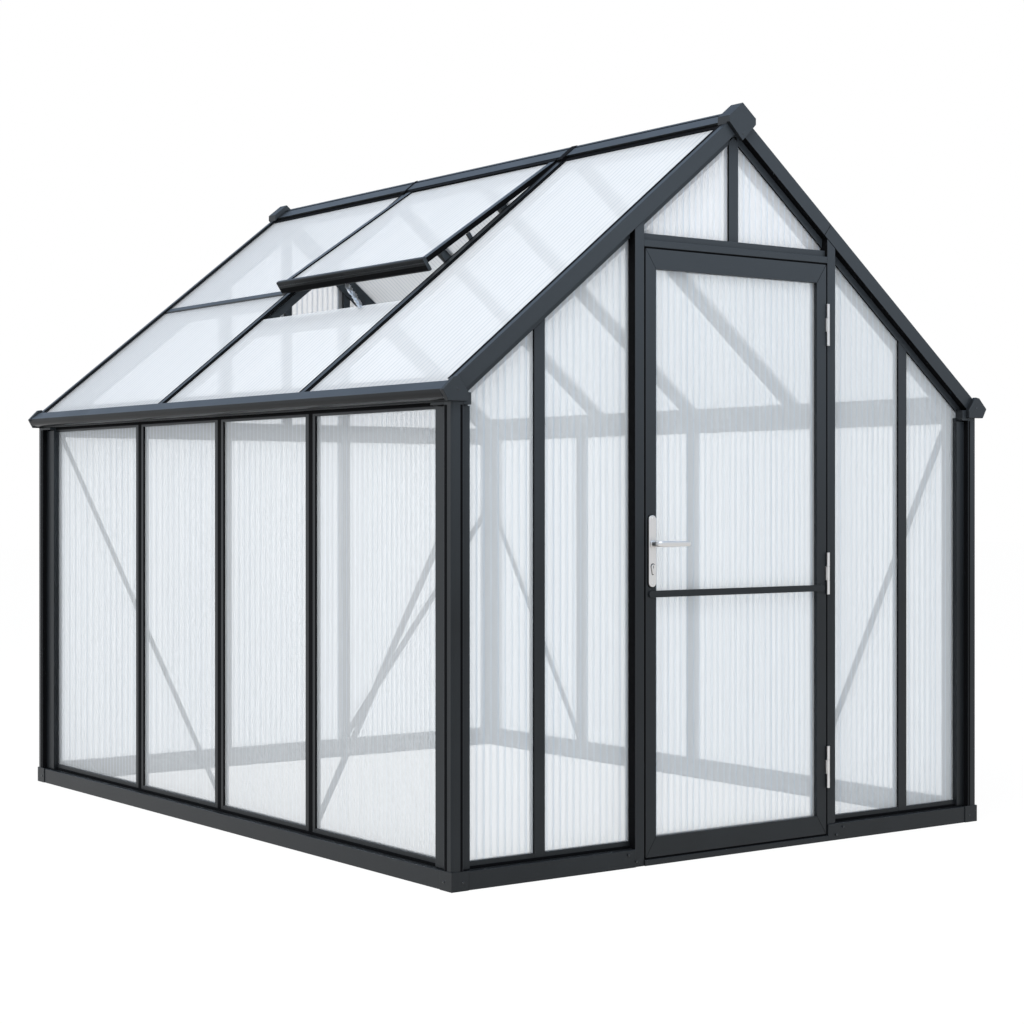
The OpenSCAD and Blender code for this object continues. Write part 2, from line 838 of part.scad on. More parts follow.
// Flat strut from the sheet below the vent up to the vent's lower bar.
module vent_stay() {
    foot_y = front_roof_bar_y + stay_in;
    foot_x = -half_w + vent_sill_in - stay_w;
    half_foot = stay_w / 3;
    thin = 1;
    color("#b9bcc0")
        hull() {
            along_y(foot_y, foot_y + stay_w)
                slope_slab(foot_x - half_foot, foot_x + half_foot,
                           sheet_top_drop - slip, sheet_top_drop - slip - thin);
            vent_place()
                block([-vent_l - 2 * half_foot - slip, foot_y + stay_lean, -vent_drip_h - slip - thin],
                      [-vent_l - half_foot, foot_y + stay_lean + stay_w, -vent_drip_h - slip]);
        }
}

// ---- Braces ----

// A flat diagonal strip on the inner face of a wall, from one point to another.
module strip(a, b) {
    run = b - a;
    side = [-run[1], run[0]] * brace_w / 2 / norm(run);
    polygon([a + side, a - side, b - side, b + side]);
}

// Two strips on each side wall and one on the back wall.
module wall_braces() {
    near_y = half_l - side_reach + brace_w / 2;
    far_x = half_w - corner_reach + brace_w / 2;
    high_z = wall_top_z - brace_end_gap;
    low_z = base_h + brace_end_gap;
    color("#5a6168") {
        along_x(-half_w + post_back, -half_w + post_back + brace_t) {
            strip([near_y, high_z], [2 * brace_w, low_z]);
            strip([-near_y, brace_middle_z], [-left_bar_pitch, low_z]);
        }
        along_x(half_w - post_back - brace_t, half_w - post_back) {
            strip([-near_y, high_z], [-right_bar_pitch, low_z]);
            strip([near_y, brace_middle_z], [right_bar_pitch, low_z]);
        }
        along_y(half_l - post_back - brace_t, half_l - post_back)
            strip([far_x, brace_middle_z], [back_bar_x, low_z]);
    }
}

// ---- Door ----

leaf_half = leaf_w / 2;
lip_depth = 15;
seat = 10;

// One member of the leaf: a mitred outline, with a groove for the sheet.
module leaf_member(outline, grooved_outline) {
    front = -half_l + leaf_in;
    along_y(front, front + lip_depth) polygon(outline);
    along_y(front + lip_depth, front + lip_depth + sheet_t) polygon(grooved_outline);
    along_y(front + lip_depth + sheet_t, front + leaf_t) polygon(outline);
}

module door_stiles() {
    inner = leaf_half - stile_w;
    mitre = leaf_rail_h / stile_w;
    low = leaf_low + leaf_rail_h;
    high = leaf_top - leaf_rail_h;
    cut = (stile_w - seat) * mitre;
    color("#34373a")
        difference() {
            both_sides()
                leaf_member(
                    [[-leaf_half, leaf_low], [-inner, low], [-inner, high], [-leaf_half, leaf_top]],
                    [[-leaf_half, leaf_low], [-inner - seat, leaf_low + cut],
                     [-inner - seat, leaf_top - cut], [-leaf_half, leaf_top]]);
            spindle_axis(leaf_in - 1, leaf_in + leaf_t + 1) circle(spindle_r + 2);
        }
}

module door_rails() {
    inner = leaf_half - stile_w;
    mitre = stile_w / leaf_rail_h;
    cut = (leaf_rail_h - seat) * mitre;
    color("#34373a")
        for (side = [-1, 1]) {
            outer_z = side < 0 ? leaf_low : leaf_top;
            inner_z = outer_z - side * leaf_rail_h;
            seat_z = inner_z + side * seat;
            leaf_member(
                [[-leaf_half, outer_z], [leaf_half, outer_z], [inner, inner_z], [-inner, inner_z]],
                [[-leaf_half, outer_z], [leaf_half, outer_z],
                 [leaf_half - cut, seat_z], [-leaf_half + cut, seat_z]]);
        }
}

module door_sheet() {
    half = leaf_half - stile_w + seat - slip;
    front = -half_l + leaf_in + lip_depth;
    color("#e8edf2")
        block([-half, front, leaf_low + leaf_rail_h - seat + slip],
              [half, front + sheet_t, leaf_top - leaf_rail_h + seat - slip]);
}

module door_cross_bar() {
    half = leaf_half - stile_w / 2;
    color("#2b2e31")
        along_y(-half_l + leaf_in - 6, -half_l + leaf_in) {
            translate([-half, cross_bar_z - cross_bar_h / 2]) square([2 * half, cross_bar_h]);
            for (x = [-half, half]) translate([x, cross_bar_z]) circle(cross_bar_h / 2);
        }
}

// ---- Handle ----

spindle_x = -leaf_half + spindle_in;
spindle_r = 4;
running = 0.1;
neck_r = 9;

// An outline round the spindle's axis, between two depths.
module spindle_axis(in0, in1) {
    along_y(-half_l + in0, -half_l + in1) translate([spindle_x, lever_z]) children();
}

module plate_outline() {
    corner = 8;
    low = -plate_h * 0.6;
    difference() {
        union() {
            translate([-plate_w / 2, low + corner]) square([plate_w, plate_h - 2 * corner]);
            translate([-plate_w / 2 + corner, low]) square([plate_w - 2 * corner, plate_h]);
            for (x = [-plate_w / 2 + corner, plate_w / 2 - corner])
                for (z = [low + corner, low + plate_h - corner])
                    translate([x, z]) circle(corner);
        }
        circle(spindle_r + running);
    }
}

module door_handle_plates() {
    key_drop = 77;
    color("#c9ccd0")
        for (face = [leaf_in - plate_t, leaf_in + leaf_t]) {
            spindle_axis(face, face + plate_t) plate_outline();
            key_face = face < leaf_in ? face - 4 : face + plate_t;
            spindle_axis(key_face, key_face + 4) translate([0, -key_drop]) circle(8);
        }
}

module door_lever() {
    outer = leaf_in - plate_t;
    inner = leaf_in + leaf_t + plate_t;
    reach = lever_out + lever_t;
    color("#c9ccd0") {
        spindle_axis(outer - lever_out, inner + lever_out) circle(spindle_r);
        for (face = [outer - lever_out, inner + 0.5])
            spindle_axis(face, face + lever_out - 0.5) circle(neck_r);
        for (face = [outer - reach, inner + lever_out])
            spindle_axis(face, face + lever_t) translate([-neck_r, -11]) square([lever_l + neck_r, 22]);
    }
}

// ---- Hinges ----

hinge_x = leaf_half + leaf_gap / 2;
hinge_in = leaf_in - hinge_r - 1;
knuckle = (hinge_h - 2) / 3;

// A length of barrel on the hinge axis, standing on its foot.
module barrel(z0, z1) {
    translate([hinge_x, -half_l + hinge_in, z0]) cylinder(r = hinge_r, h = z1 - z0);
}

module hinge_jamb_knuckles() {
    color("#c9ccd0")
        for (z = [low_hinge_z, middle_hinge_z, high_hinge_z]) {
            low = z - hinge_h / 2;
            high = z + hinge_h / 2;
            for (span = [[low, low + knuckle], [high - knuckle, high]]) {
                barrel(span[0], span[1]);
                block([hinge_x + 1.5, -half_l + hinge_in, span[0]],
                      [door_half + 6, -half_l + leaf_in, span[1]]);
            }
            translate([hinge_x, -half_l + hinge_in, low]) cylinder(r = pin_r, h = hinge_h);
        }
}

module hinge_door_knuckles() {
    color("#c9ccd0")
        for (z = [low_hinge_z, middle_hinge_z, high_hinge_z]) {
            low = z - knuckle / 2;
            high = z + knuckle / 2;
            difference() {
                union() {
                    barrel(low, high);
                    block([leaf_half - 6, -half_l + hinge_in, low],
                          [hinge_x - 1.5, -half_l + leaf_in, high]);
                }
                translate([hinge_x, -half_l + hinge_in, low - 1])
                    cylinder(r = pin_r + running, h = knuckle + 2);
            }
        }
}

base_side_rails();
base_end_rails();
base_corner_brackets();
door_sill();
corner_posts();
side_wall_rails();
side_wall_bar_caps();
side_wall_posts();
front_wall_rails();
front_wall_bar_caps();
front_wall_posts();
back_wall_rails();
back_wall_bar_caps();
back_wall_posts();
door_jambs();
door_head_rail();
side_wall_sheets();
front_wall_sheets();
front_gable_sheets();
back_wall_sheets();
back_gable_sheets();
eave_beams();
gutters();
gutter_end_caps();
eave_brackets();
gable_rafters();
ridge_beam();
ridge_end_caps();
roof_bars();
roof_bar_caps();
roof_cross_bars();
roof_sheets();
vent_frame();
vent_lower_bar();
vent_sheet();
vent_stay();
wall_braces();
door_stiles();
door_rails();
door_sheet();
door_cross_bar();
door_handle_plates();
door_lever();
hinge_jamb_knuckles();
hinge_door_knuckles();
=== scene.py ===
import json
import math
import random

import bmesh
import bpy
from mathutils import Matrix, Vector


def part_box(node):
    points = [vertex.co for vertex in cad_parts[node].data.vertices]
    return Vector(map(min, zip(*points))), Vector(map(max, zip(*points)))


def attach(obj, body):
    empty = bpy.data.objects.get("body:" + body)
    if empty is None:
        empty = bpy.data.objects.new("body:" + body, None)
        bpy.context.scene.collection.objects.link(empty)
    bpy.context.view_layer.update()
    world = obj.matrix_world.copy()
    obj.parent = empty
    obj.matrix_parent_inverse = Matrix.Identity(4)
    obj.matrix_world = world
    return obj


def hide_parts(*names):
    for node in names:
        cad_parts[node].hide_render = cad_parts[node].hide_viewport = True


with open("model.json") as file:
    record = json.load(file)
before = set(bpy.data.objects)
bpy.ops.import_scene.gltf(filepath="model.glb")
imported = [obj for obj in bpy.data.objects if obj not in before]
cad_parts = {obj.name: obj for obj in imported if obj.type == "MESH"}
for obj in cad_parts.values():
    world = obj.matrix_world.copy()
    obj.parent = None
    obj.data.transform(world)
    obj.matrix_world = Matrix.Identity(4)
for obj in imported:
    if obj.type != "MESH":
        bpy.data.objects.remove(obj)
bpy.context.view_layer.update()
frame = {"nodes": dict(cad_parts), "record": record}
nodes = frame["nodes"]
mm = 0.001
random.seed(7)

# Places that several pieces share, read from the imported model, and the roof's pitch.
halfW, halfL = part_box("base_corner_brackets")[1].xy
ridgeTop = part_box("ridge_beam")[1].z
slope = math.radians(38.8)


cameraValues = {"place": (-4.9025, -6.928, 1.2384), "tilt": 90, "turn": 36.27, "lens": 72.86, "sensor": 36.0,
                "shiftY": -0.0145, "farM": 100}


def makeCamera(values):
    data = bpy.data.cameras.new("camera")
    data.lens = values["lens"]
    data.sensor_width = values["sensor"]
    data.shift_y = values["shiftY"]
    data.clip_end = values["farM"]
    camera = bpy.data.objects.new("camera", data)
    camera.location = values["place"]
    camera.rotation_euler = (math.radians(values["tilt"]), 0, -math.radians(values["turn"]))
    bpy.context.scene.collection.objects.link(camera)
    bpy.context.scene.camera = camera


makeCamera(cameraValues)
bpy.context.scene.view_settings.view_transform = "Standard"
print("camera made")


# sRGB hex to a linear colour with alpha 1.
def linear(hexText):
    parts = [int(hexText[i:i + 2], 16) / 255 for i in (0, 2, 4)]
    return tuple(c / 12.92 if c <= 0.04045 else ((c + 0.055) / 1.055) ** 2.4 for c in parts) + (1.0,)


def startMaterial(name):
    material = bpy.data.materials.new(name)
    material.use_nodes = True
    material.node_tree.nodes.clear()
    return material, material.node_tree


def addNode(tree, kind, settings=None, links=None):
    node = tree.nodes.new(kind)
    for key, value in (settings or {}).items():
        if isinstance(key, int) or key in node.inputs:
            node.inputs[key].default_value = value
        else:
            setattr(node, key, value)
    for key, source in (links or {}).items():
        tree.links.new(source, node.inputs[key])
    return node


# The pale blue colour and the two heights between which it grows are a painted sheen on the end faces.
coatValues = {"dark": "101214", "pale": "181b1e", "bloom": "2e3338", "paintedSheenFromM": 0.85, "paintedSheenToM": 2.15,
              "roughness": 0.38, "spread": (-0.06, 0.08), "gloss": 0.25, "tint": "f6fcff", "peelMm": 2.5,
              "peelDeepMm": 0.3, "peelStrength": 0.1, "mottleMm": 220}


# Polyester powder coat on extruded aluminium: satin anthracite with a fine orange peel and slow changes of tone.
# The faces at both ends are painted paler and bluer toward the top: a painted sheen.
def powderCoat(name, values):
    material, tree = startMaterial(name)
    place = addNode(tree, "ShaderNodeTexCoord").outputs["Object"]
    mottle = addNode(tree, "ShaderNodeTexNoise", {"Scale": 1000 / values["mottleMm"], "Detail": 3.0},
                     {"Vector": place})
    peel = addNode(tree, "ShaderNodeTexNoise", {"Scale": 1000 / values["peelMm"], "Detail": 2.0}, {"Vector": place})
    tone = addNode(tree, "ShaderNodeMix",
                   {"data_type": "RGBA", "A": linear(values["dark"]), "B": linear(values["pale"])},
                   {"Factor": mottle.outputs["Fac"]})
    height = addNode(tree, "ShaderNodeSeparateXYZ", {}, {"Vector": place}).outputs["Z"]
    # Painted sheen: the coat is mixed toward the pale blue higher up, on faces that look along Y.
    rise = addNode(tree, "ShaderNodeMapRange",
                   {"From Min": values["paintedSheenFromM"], "From Max": values["paintedSheenToM"]}, {"Value": height})
    facing = addNode(tree, "ShaderNodeSeparateXYZ", {},
                     {"Vector": addNode(tree, "ShaderNodeTexCoord").outputs["Normal"]})
    ends = addNode(tree, "ShaderNodeMath", {"operation": "ABSOLUTE"}, {0: facing.outputs["Y"]})
    share = addNode(tree, "ShaderNodeMath", {"operation": "MULTIPLY"}, {0: rise.outputs[0], 1: ends.outputs[0]})
    coatWithPaintedSheen = addNode(tree, "ShaderNodeMix", {"data_type": "RGBA", "B": linear(values["bloom"])},
                   {"Factor": share.outputs[0], "A": tone.outputs[2]})
    gloss = addNode(tree, "ShaderNodeMapRange",
                    {"To Min": values["roughness"] + values["spread"][0],
                     "To Max": values["roughness"] + values["spread"][1]},
                    {"Value": mottle.outputs["Fac"]})
    bump = addNode(tree, "ShaderNodeBump",
                   {"Strength": values["peelStrength"], "Distance": values["peelDeepMm"] * mm},
                   {"Height": peel.outputs["Fac"]})
    shader = addNode(tree, "ShaderNodeBsdfPrincipled",
                     {"IOR": 1.5, "Specular IOR Level": values["gloss"], "Specular Tint": linear(values["tint"])},
                     {"Base Color": coatWithPaintedSheen.outputs[2], "Roughness": gloss.outputs[0], "Normal": bump.outputs[0]})
    addNode(tree, "ShaderNodeOutputMaterial", {}, {"Surface": shader.outputs[0]})
    return material


# Ribs of this sheet stand closer in life. They are drawn as far apart as they need to be to show.
sheetValues = {"colour": "ecf0f3", "line": "a5b2bf", "milk": 0.06, "clear": 0.28, "atRib": 0.6, "pitchMm": 28.0,
               "lineMm": 9.0, "flatShare": 0.12, "fullShare": 0.5, "faintest": 0.7, "haze": 0.01,
               "roughness": 0.35, "cloudMm": 700}
# The long walls are a little greyer, the gable tops paler, and the roof is an opal grade.
sideSheetValues = dict(sheetValues, colour="e5e8ea", line="aeb7c0", atRib=0.55)
gableSheetValues = dict(sheetValues, colour="fafcff", line="b4c2d1")
roofSheetValues = dict(sheetValues, colour="e9ebed", line="a2adb9", milk=0.25, clear=0.44, atRib=0.66)


# Twin-wall polycarbonate, extruded: milky clear skins, with darker lines where its ribs stand.
def twinWall(name, values, axis):
    material, tree = startMaterial(name)
    place = addNode(tree, "ShaderNodeTexCoord").outputs["Object"]
    across = addNode(tree, "ShaderNodeSeparateXYZ", {}, {"Vector": place}).outputs[axis]
    turns = addNode(tree, "ShaderNodeMath", {"operation": "DIVIDE", 1: values["pitchMm"] * mm}, {0: across})
    away = addNode(tree, "ShaderNodeMath", {"operation": "PINGPONG", 1: 0.5}, {0: turns.outputs[0]})
    width = values["lineMm"] / values["pitchMm"]
    ribs = addNode(tree, "ShaderNodeMapRange",
                   {"From Min": values["flatShare"] * width, "From Max": values["fullShare"] * width,
                    "To Min": 1.0, "To Max": 0.0}, {"Value": away.outputs[0]})
    number = addNode(tree, "ShaderNodeMath", {"operation": "ROUND"}, {0: turns.outputs[0]})
    chance = addNode(tree, "ShaderNodeTexWhiteNoise", {"noise_dimensions": "1D"}, {"W": number.outputs[0]})
    strength = addNode(tree, "ShaderNodeMapRange", {"To Min": values["faintest"], "To Max": 1.0},
                       {"Value": chance.outputs["Value"]})
    lines = addNode(tree, "ShaderNodeMath", {"operation": "MULTIPLY"}, {0: ribs.outputs[0], 1: strength.outputs[0]})
    tone = addNode(tree, "ShaderNodeMix",
                   {"data_type": "RGBA", "A": linear(values["colour"]), "B": linear(values["line"])},
                   {"Factor": lines.outputs[0]})
    cloud = addNode(tree, "ShaderNodeTexNoise", {"Scale": 1000 / values["cloudMm"], "Detail": 2.0}, {"Vector": place})
    haze = addNode(tree, "ShaderNodeMapRange",
                   {"To Min": values["clear"] - values["haze"], "To Max": values["clear"] + values["haze"]},
                   {"Value": cloud.outputs["Fac"]})
    alpha = addNode(tree, "ShaderNodeMapRange", {"To Max": values["atRib"]},
                    {"Value": lines.outputs[0], "To Min": haze.outputs[0]})
    shader = addNode(tree, "ShaderNodeBsdfPrincipled", {"Roughness": values["roughness"], "IOR": 1.58},
                     {"Base Color": tone.outputs[2], "Alpha": alpha.outputs[0]})
    milk = addNode(tree, "ShaderNodeBsdfTranslucent", {}, {"Color": tone.outputs[2]})
    mix = addNode(tree, "ShaderNodeMixShader", {"Fac": values["milk"]}, {1: shader.outputs[0], 2: milk.outputs[0]})
    addNode(tree, "ShaderNodeOutputMaterial", {}, {"Surface": mix.outputs[0]})
    return material


metalValues = {"colour": "cfcdcb", "roughness": 0.3, "spread": (-0.05, 0.12), "grainMm": 1.2, "grainStretch": 0.08,
               "grainDeepMm": 0.2, "grainStrength": 0.05}


# Satin-anodised aluminium: pale, faintly brushed, with soft broad highlights. Its grain is finer in life,
# and is drawn as coarse as it needs to be to show.
def satinAluminium(name, values):
    material, tree = startMaterial(name)
    place = addNode(tree, "ShaderNodeTexCoord").outputs["Object"]
    stretch = addNode(tree, "ShaderNodeMapping", {"Scale": (1.0, 1.0, values["grainStretch"])}, {"Vector": place})
    grain = addNode(tree, "ShaderNodeTexNoise", {"Scale": 1000 / values["grainMm"], "Detail": 2.0},
                    {"Vector": stretch.outputs[0]})
    gloss = addNode(tree, "ShaderNodeMapRange",
                    {"To Min": values["roughness"] + values["spread"][0],
                     "To Max": values["roughness"] + values["spread"][1]},
                    {"Value": grain.outputs["Fac"]})
    bump = addNode(tree, "ShaderNodeBump",
                   {"Strength": values["grainStrength"], "Distance": values["grainDeepMm"] * mm},
                   {"Height": grain.outputs["Fac"]})
    shader = addNode(tree, "ShaderNodeBsdfPrincipled", {"Base Color": linear(values["colour"]), "Metallic": 1.0},
                     {"Roughness": gloss.outputs[0], "Normal": bump.outputs[0]})
    addNode(tree, "ShaderNodeOutputMaterial", {}, {"Surface": shader.outputs[0]})
    return material


rubberValues = {"dark": "020203", "pale": "060709", "roughness": 0.85, "gloss": 0.08, "bloomMm": 16.67}


# Black EPDM rubber: matt, nearly black, with a fine bloom.
def gasketRubber(name, values):
    material, tree = startMaterial(name)
    place = addNode(tree, "ShaderNodeTexCoord").outputs["Object"]
    bloom = addNode(tree, "ShaderNodeTexNoise", {"Scale": 1000 / values["bloomMm"], "Detail": 3.0}, {"Vector": place})
    tone = addNode(tree, "ShaderNodeMix",
                   {"data_type": "RGBA", "A": linear(values["dark"]), "B": linear(values["pale"])},
                   {"Factor": bloom.outputs["Fac"]})
    shader = addNode(tree, "ShaderNodeBsdfPrincipled",
                     {"Roughness": values["roughness"], "Specular IOR Level": values["gloss"]},
                     {"Base Color": tone.outputs[2]})
    addNode(tree, "ShaderNodeOutputMaterial", {}, {"Surface": shader.outputs[0]})
    return material


frameCoat = powderCoat("anthracitePowderCoat", coatValues)
# Moulded ABS: the frame's colour with a duller, finer grain.
capCoat = powderCoat("anthraciteMouldedCaps", dict(coatValues, roughness=0.46, peelMm=1.5))
sheetAcross = twinWall("twinWallRibsAcross", sheetValues, "X")
gableSheet = twinWall("twinWallGableTop", gableSheetValues, "X")
sheetAlong = twinWall("twinWallRibsAlong", sideSheetValues, "Y")
roofSheet = twinWall("twinWallOpalRoof", roofSheetValues, "Y")
satin = satinAluminium("satinAnodisedAluminium", metalValues)
# The black rubber serves the real gaskets and joints, and is also put on frame faces and in grooves and gaps as painted
# shade.
blackRubberAndShade = gasketRubber("blackRubberAndPaintedShade", rubberValues)
# The same powder coat where a crease or lip keeps the light off it: nearly black.
shadeCoat = powderCoat("anthraciteCoatInShade", dict(coatValues, dark="090a0b", pale="0d0e10", gloss=0.14))
# Blackened steel: darker than the coat, with a small bright highlight.
screwSteel = powderCoat("blackenedSteelScrews",
                        dict(coatValues, dark="060708", pale="0c0d0f", roughness=0.25, gloss=0.6))
print("materials made")


def makePiece(form, name, material, body="house", smooth=35, flat=True):
    mesh = bpy.data.meshes.new(name)
    form.normal_update()
    form.to_mesh(mesh)
    form.free()
    for polygon in mesh.polygons:
        polygon.use_smooth = True
    mesh.set_sharp_from_angle(angle=math.radians(smooth))
    mesh.materials.append(material)
    piece = bpy.data.objects.new(name, mesh)
    bpy.context.scene.collection.objects.link(piece)
    if flat:
        weigh = piece.modifiers.new("flatFaces", "WEIGHTED_NORMAL")
        weigh.keep_sharp = True
    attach(piece, body)
    return piece


def pieceName(node):
    first, *rest = node.split("_")
    return first + "".join(word.capitalize() for word in rest)


def readSolids(node):
    form = bmesh.new()
    form.from_mesh(nodes[node].data)
    bmesh.ops.remove_doubles(form, verts=form.verts, dist=1e-5)
    return form


# The solids of a CAD node with their flat faces whole again.
def cadForm(node):
    form = readSolids(node)
    bmesh.ops.dissolve_limit(form, angle_limit=math.radians(0.4), verts=form.verts, edges=form.edges)
    return form


# The box of each solid in a CAD node.
def solidBoxes(node):
    form = readSolids(node)
    left, boxes = set(form.verts), []
    while left:
        group, front = set(), [left.pop()]
        while front:
            vert = front.pop()
            group.add(vert)
            near = {edge.other_vert(vert) for edge in vert.link_edges} & left
            left -= near
            front += near
        boxes.append((Vector([min(v.co[i] for v in group) for i in range(3)]),
                      Vector([max(v.co[i] for v in group) for i in range(3)])))
    form.free()
    return sorted(boxes, key=lambda pair: tuple(pair[0]))


def softenEdges(form, width, segments=2, angle=25):
    edges = [e for e in form.edges if len(e.link_faces) == 2 and e.calc_face_angle(0) > math.radians(angle)]
    bmesh.ops.bevel(form, geom=edges, offset=width, offset_type="OFFSET", segments=segments, profile=0.6,
                    affect="EDGES", clamp_overlap=True)


# A closed skin through rings of points, with a face over each end.
def joinRings(form, rings):
    rows = [[form.verts.new(point) for point in ring] for ring in rings]
    for a, b in zip(rows, rows[1:]):
        for i in range(len(a)):
            j = (i + 1) % len(a)
            form.faces.new((a[i], a[j], b[j], b[i]))
    form.faces.new(rows[0][::-1])
    form.faces.new(rows[-1])


def addPrism(form, bottom, top):
    joinRings(form, [[Vector(point) * mm for point in ring] for ring in (bottom, top)])


def addBlock(form, x, y, z):
    ring = [(x[0], y[0]), (x[1], y[0]), (x[1], y[1]), (x[0], y[1])]
    addPrism(form, [(a, b, z[0]) for a, b in ring], [(a, b, z[1]) for a, b in ring])


# A place on a roof slope in mm: so far down from the ridge, at y, lifted off the slope.
def roofPoint(side, along, y, lift):
    return (side * (along * math.cos(slope) + lift * math.sin(slope)), y,
            ridgeTop / mm - along * math.sin(slope) + lift * math.cos(slope))


def addRoofStrip(form, side, along, y, lift):
    ring = [(along[0], y[0]), (along[1], y[0]), (along[1], y[1]), (along[0], y[1])]
    addPrism(form, *([roofPoint(side, a, b, c) for a, b in ring] for c in lift))


def finishForm(form):
    bmesh.ops.recalc_face_normals(form, faces=form.faces)
    return form


# How far each member's edges are rounded, in mm, as extrusions and mouldings have them.
memberEdges = {
    "base_side_rails": 1.5, "base_end_rails": 1.5, "base_corner_brackets": 0.8, "door_sill": 1.5,
    "corner_posts": 1.2, "side_wall_rails": 1.5, "side_wall_bar_caps": 1.0, "side_wall_posts": 1.5,
    "front_wall_rails": 1.5, "front_wall_bar_caps": 1.2, "front_wall_posts": 1.5,
    "back_wall_rails": 1.5, "back_wall_bar_caps": 1.2, "back_wall_posts": 1.5,
    "door_jambs": 1.5, "door_head_rail": 1.5, "eave_beams": 1.0, "gutters": 1.0, "gable_rafters": 1.5,
    "ridge_beam": 1.5, "roof_bars": 1.5, "roof_bar_caps": 1.2, "roof_cross_bars": 1.2,
    "vent_frame": 1.5, "vent_lower_bar": 1.5, "wall_braces": 0.6,
    "door_stiles": 1.2, "door_rails": 1.2, "door_cross_bar": 1.2,
    "hinge_jamb_knuckles": 0.6, "hinge_door_knuckles": 0.6,
    "gutter_end_caps": 2.5, "eave_brackets": 1.5, "ridge_end_caps": 3.0,
}
moulded = ("gutter_end_caps", "eave_brackets", "ridge_end_caps")
hingeNodes = ("hinge_jamb_knuckles", "hinge_door_knuckles")
bodyOf = {node: body for body, members in frame["record"]["behaviour"]["bodies"].items() for node in members}


# Limits in metres, from the middle of the house, that tell one face of a member from another.
faceLimits = {"cheekOutY": 1.555, "cheekInX": 1.176, "cheekOutX": 1.185, "cheekInY": 1.546, "leafX": 0.42,
              "leafLow": 0.03, "leafHigh": 2.072, "gutterLow": 1.551}


# Faces down the sides of a recess. They take the black rubber: painted shade where the recess lies in shade, and a seal
# in places.
def paintedShadeInRecess(node, face, limits=faceLimits):
    place, normal = face.calc_center_median(), face.normal
    if node in ("door_jambs", "front_wall_bar_caps", "back_wall_bar_caps"):
        return abs(normal.x) > 0.9
    if node in ("side_wall_bar_caps", "vent_frame"):
        return abs(normal.y) > 0.9
    if node == "gable_rafters":
        return normal.z < -0.3 and abs(normal.y) < 0.1
    if node == "corner_posts":
        front = abs(normal.x) > 0.9 and abs(place.y) > limits["cheekOutY"] and abs(place.x) < limits["cheekInX"]
        side = abs(normal.y) > 0.9 and abs(place.x) > limits["cheekOutX"] and abs(place.y) < limits["cheekInY"]
        return front or side
    if node in ("door_stiles", "door_rails"):
        edge = abs(place.x) > limits["leafX"] or not limits["leafLow"] <= place.z <= limits["leafHigh"]
        return abs(normal.y) < 0.95 and edge
    return False


# Faces that look darker, under the crease of a gutter and under the lip of the vent.
def inShade(node, face, limits=faceLimits):
    if node == "gutters":
        return abs(face.normal.x) > 0.5 > face.normal.z and face.calc_center_median().z > limits["gutterLow"]
    return node == "vent_lower_bar" and face.normal.x < -0.3


def dressMembers(values):
    for node, edge in values.items():
        form = cadForm(node)
        softenEdges(form, edge * mm)
        form.normal_update()
        form.faces.index_update()
        material = capCoat if node in moulded else satin if node in hingeNodes else frameCoat
        # Recess faces are painted black with the rubber: painted shade.
        recessShadeFaces = [face.index for face in form.faces if paintedShadeInRecess(node, face)]
        shaded = [face.index for face in form.faces if inShade(node, face)]
        piece = makePiece(form, pieceName(node), material, bodyOf[node])
        for chosen, other in ((recessShadeFaces, blackRubberAndShade), (shaded, shadeCoat)):
            if chosen:
                piece.data.materials.append(other)
            for index in chosen:
                piece.data.polygons[index].material_index = len(piece.data.materials) - 1
        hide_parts(node)


dressMembers(memberEdges)
print("frame members made")


# The sheets, with the axis that their ribs are spaced along. A faint raised line stands over each rib.
sheetNodes = {
    "side_wall_sheets": "Y", "front_wall_sheets": "X", "front_gable_sheets": "X", "back_wall_sheets": "X",
    "back_gable_sheets": "X", "roof_sheets": "Y", "vent_sheet": "Y", "door_sheet": "X",
}
sheetFinish = {"roof_sheets": roofSheet, "vent_sheet": roofSheet, "front_gable_sheets": gableSheet,
               "back_gable_sheets": gableSheet, "side_wall_sheets": sheetAlong}
ribValues = {"halfWidthMm": 3.2, "riseMm": 0.2, "rimMm": 2.0}


def makeSheets(sheets, values):
    pitch = sheetValues["pitchMm"] * mm
    rim = values["rimMm"] * mm
    for node, axis in sheets.items():
        form = cadForm(node)
        index = "XYZ".index(axis)
        normal = Vector([1.0 if i == index else 0.0 for i in range(3)])
        low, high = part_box(node)
        for number in range(math.ceil(low[index] / pitch), math.floor(high[index] / pitch) + 1):
            for side in (-1, 0, 1):
                cut = normal * (number * pitch + side * values["halfWidthMm"] * mm)
                bmesh.ops.bisect_plane(form, geom=form.verts[:] + form.edges[:] + form.faces[:], plane_co=cut,
                                       plane_no=normal, dist=1e-6)
        form.normal_update()
        moves = []
        for vert in form.verts:
            turns = vert.co[index] / pitch
            inside = low[index] + rim < vert.co[index] < high[index] - rim
            if inside and abs(turns - round(turns)) < 1e-3:
                skin = max(vert.link_faces, key=lambda face: face.calc_area())
                if abs(skin.normal[index]) < 0.1:
                    moves.append((vert, skin.normal * values["riseMm"] * mm))
        for vert, move in moves:
            vert.co += move
        piece = makePiece(form, pieceName(node), sheetFinish.get(node, sheetAcross), bodyOf[node],
                          20, False)
        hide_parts(node)


makeSheets(sheetNodes, ribValues)
print("sheets made")


# Rubber strips in the grooves of the side wall bars.
gasketValues = {"widthMm": 27.0, "depthMm": 4.0, "proudMm": 0.7, "roundMm": 0.6, "shiftMm": -2.5, "endMm": 2.0}


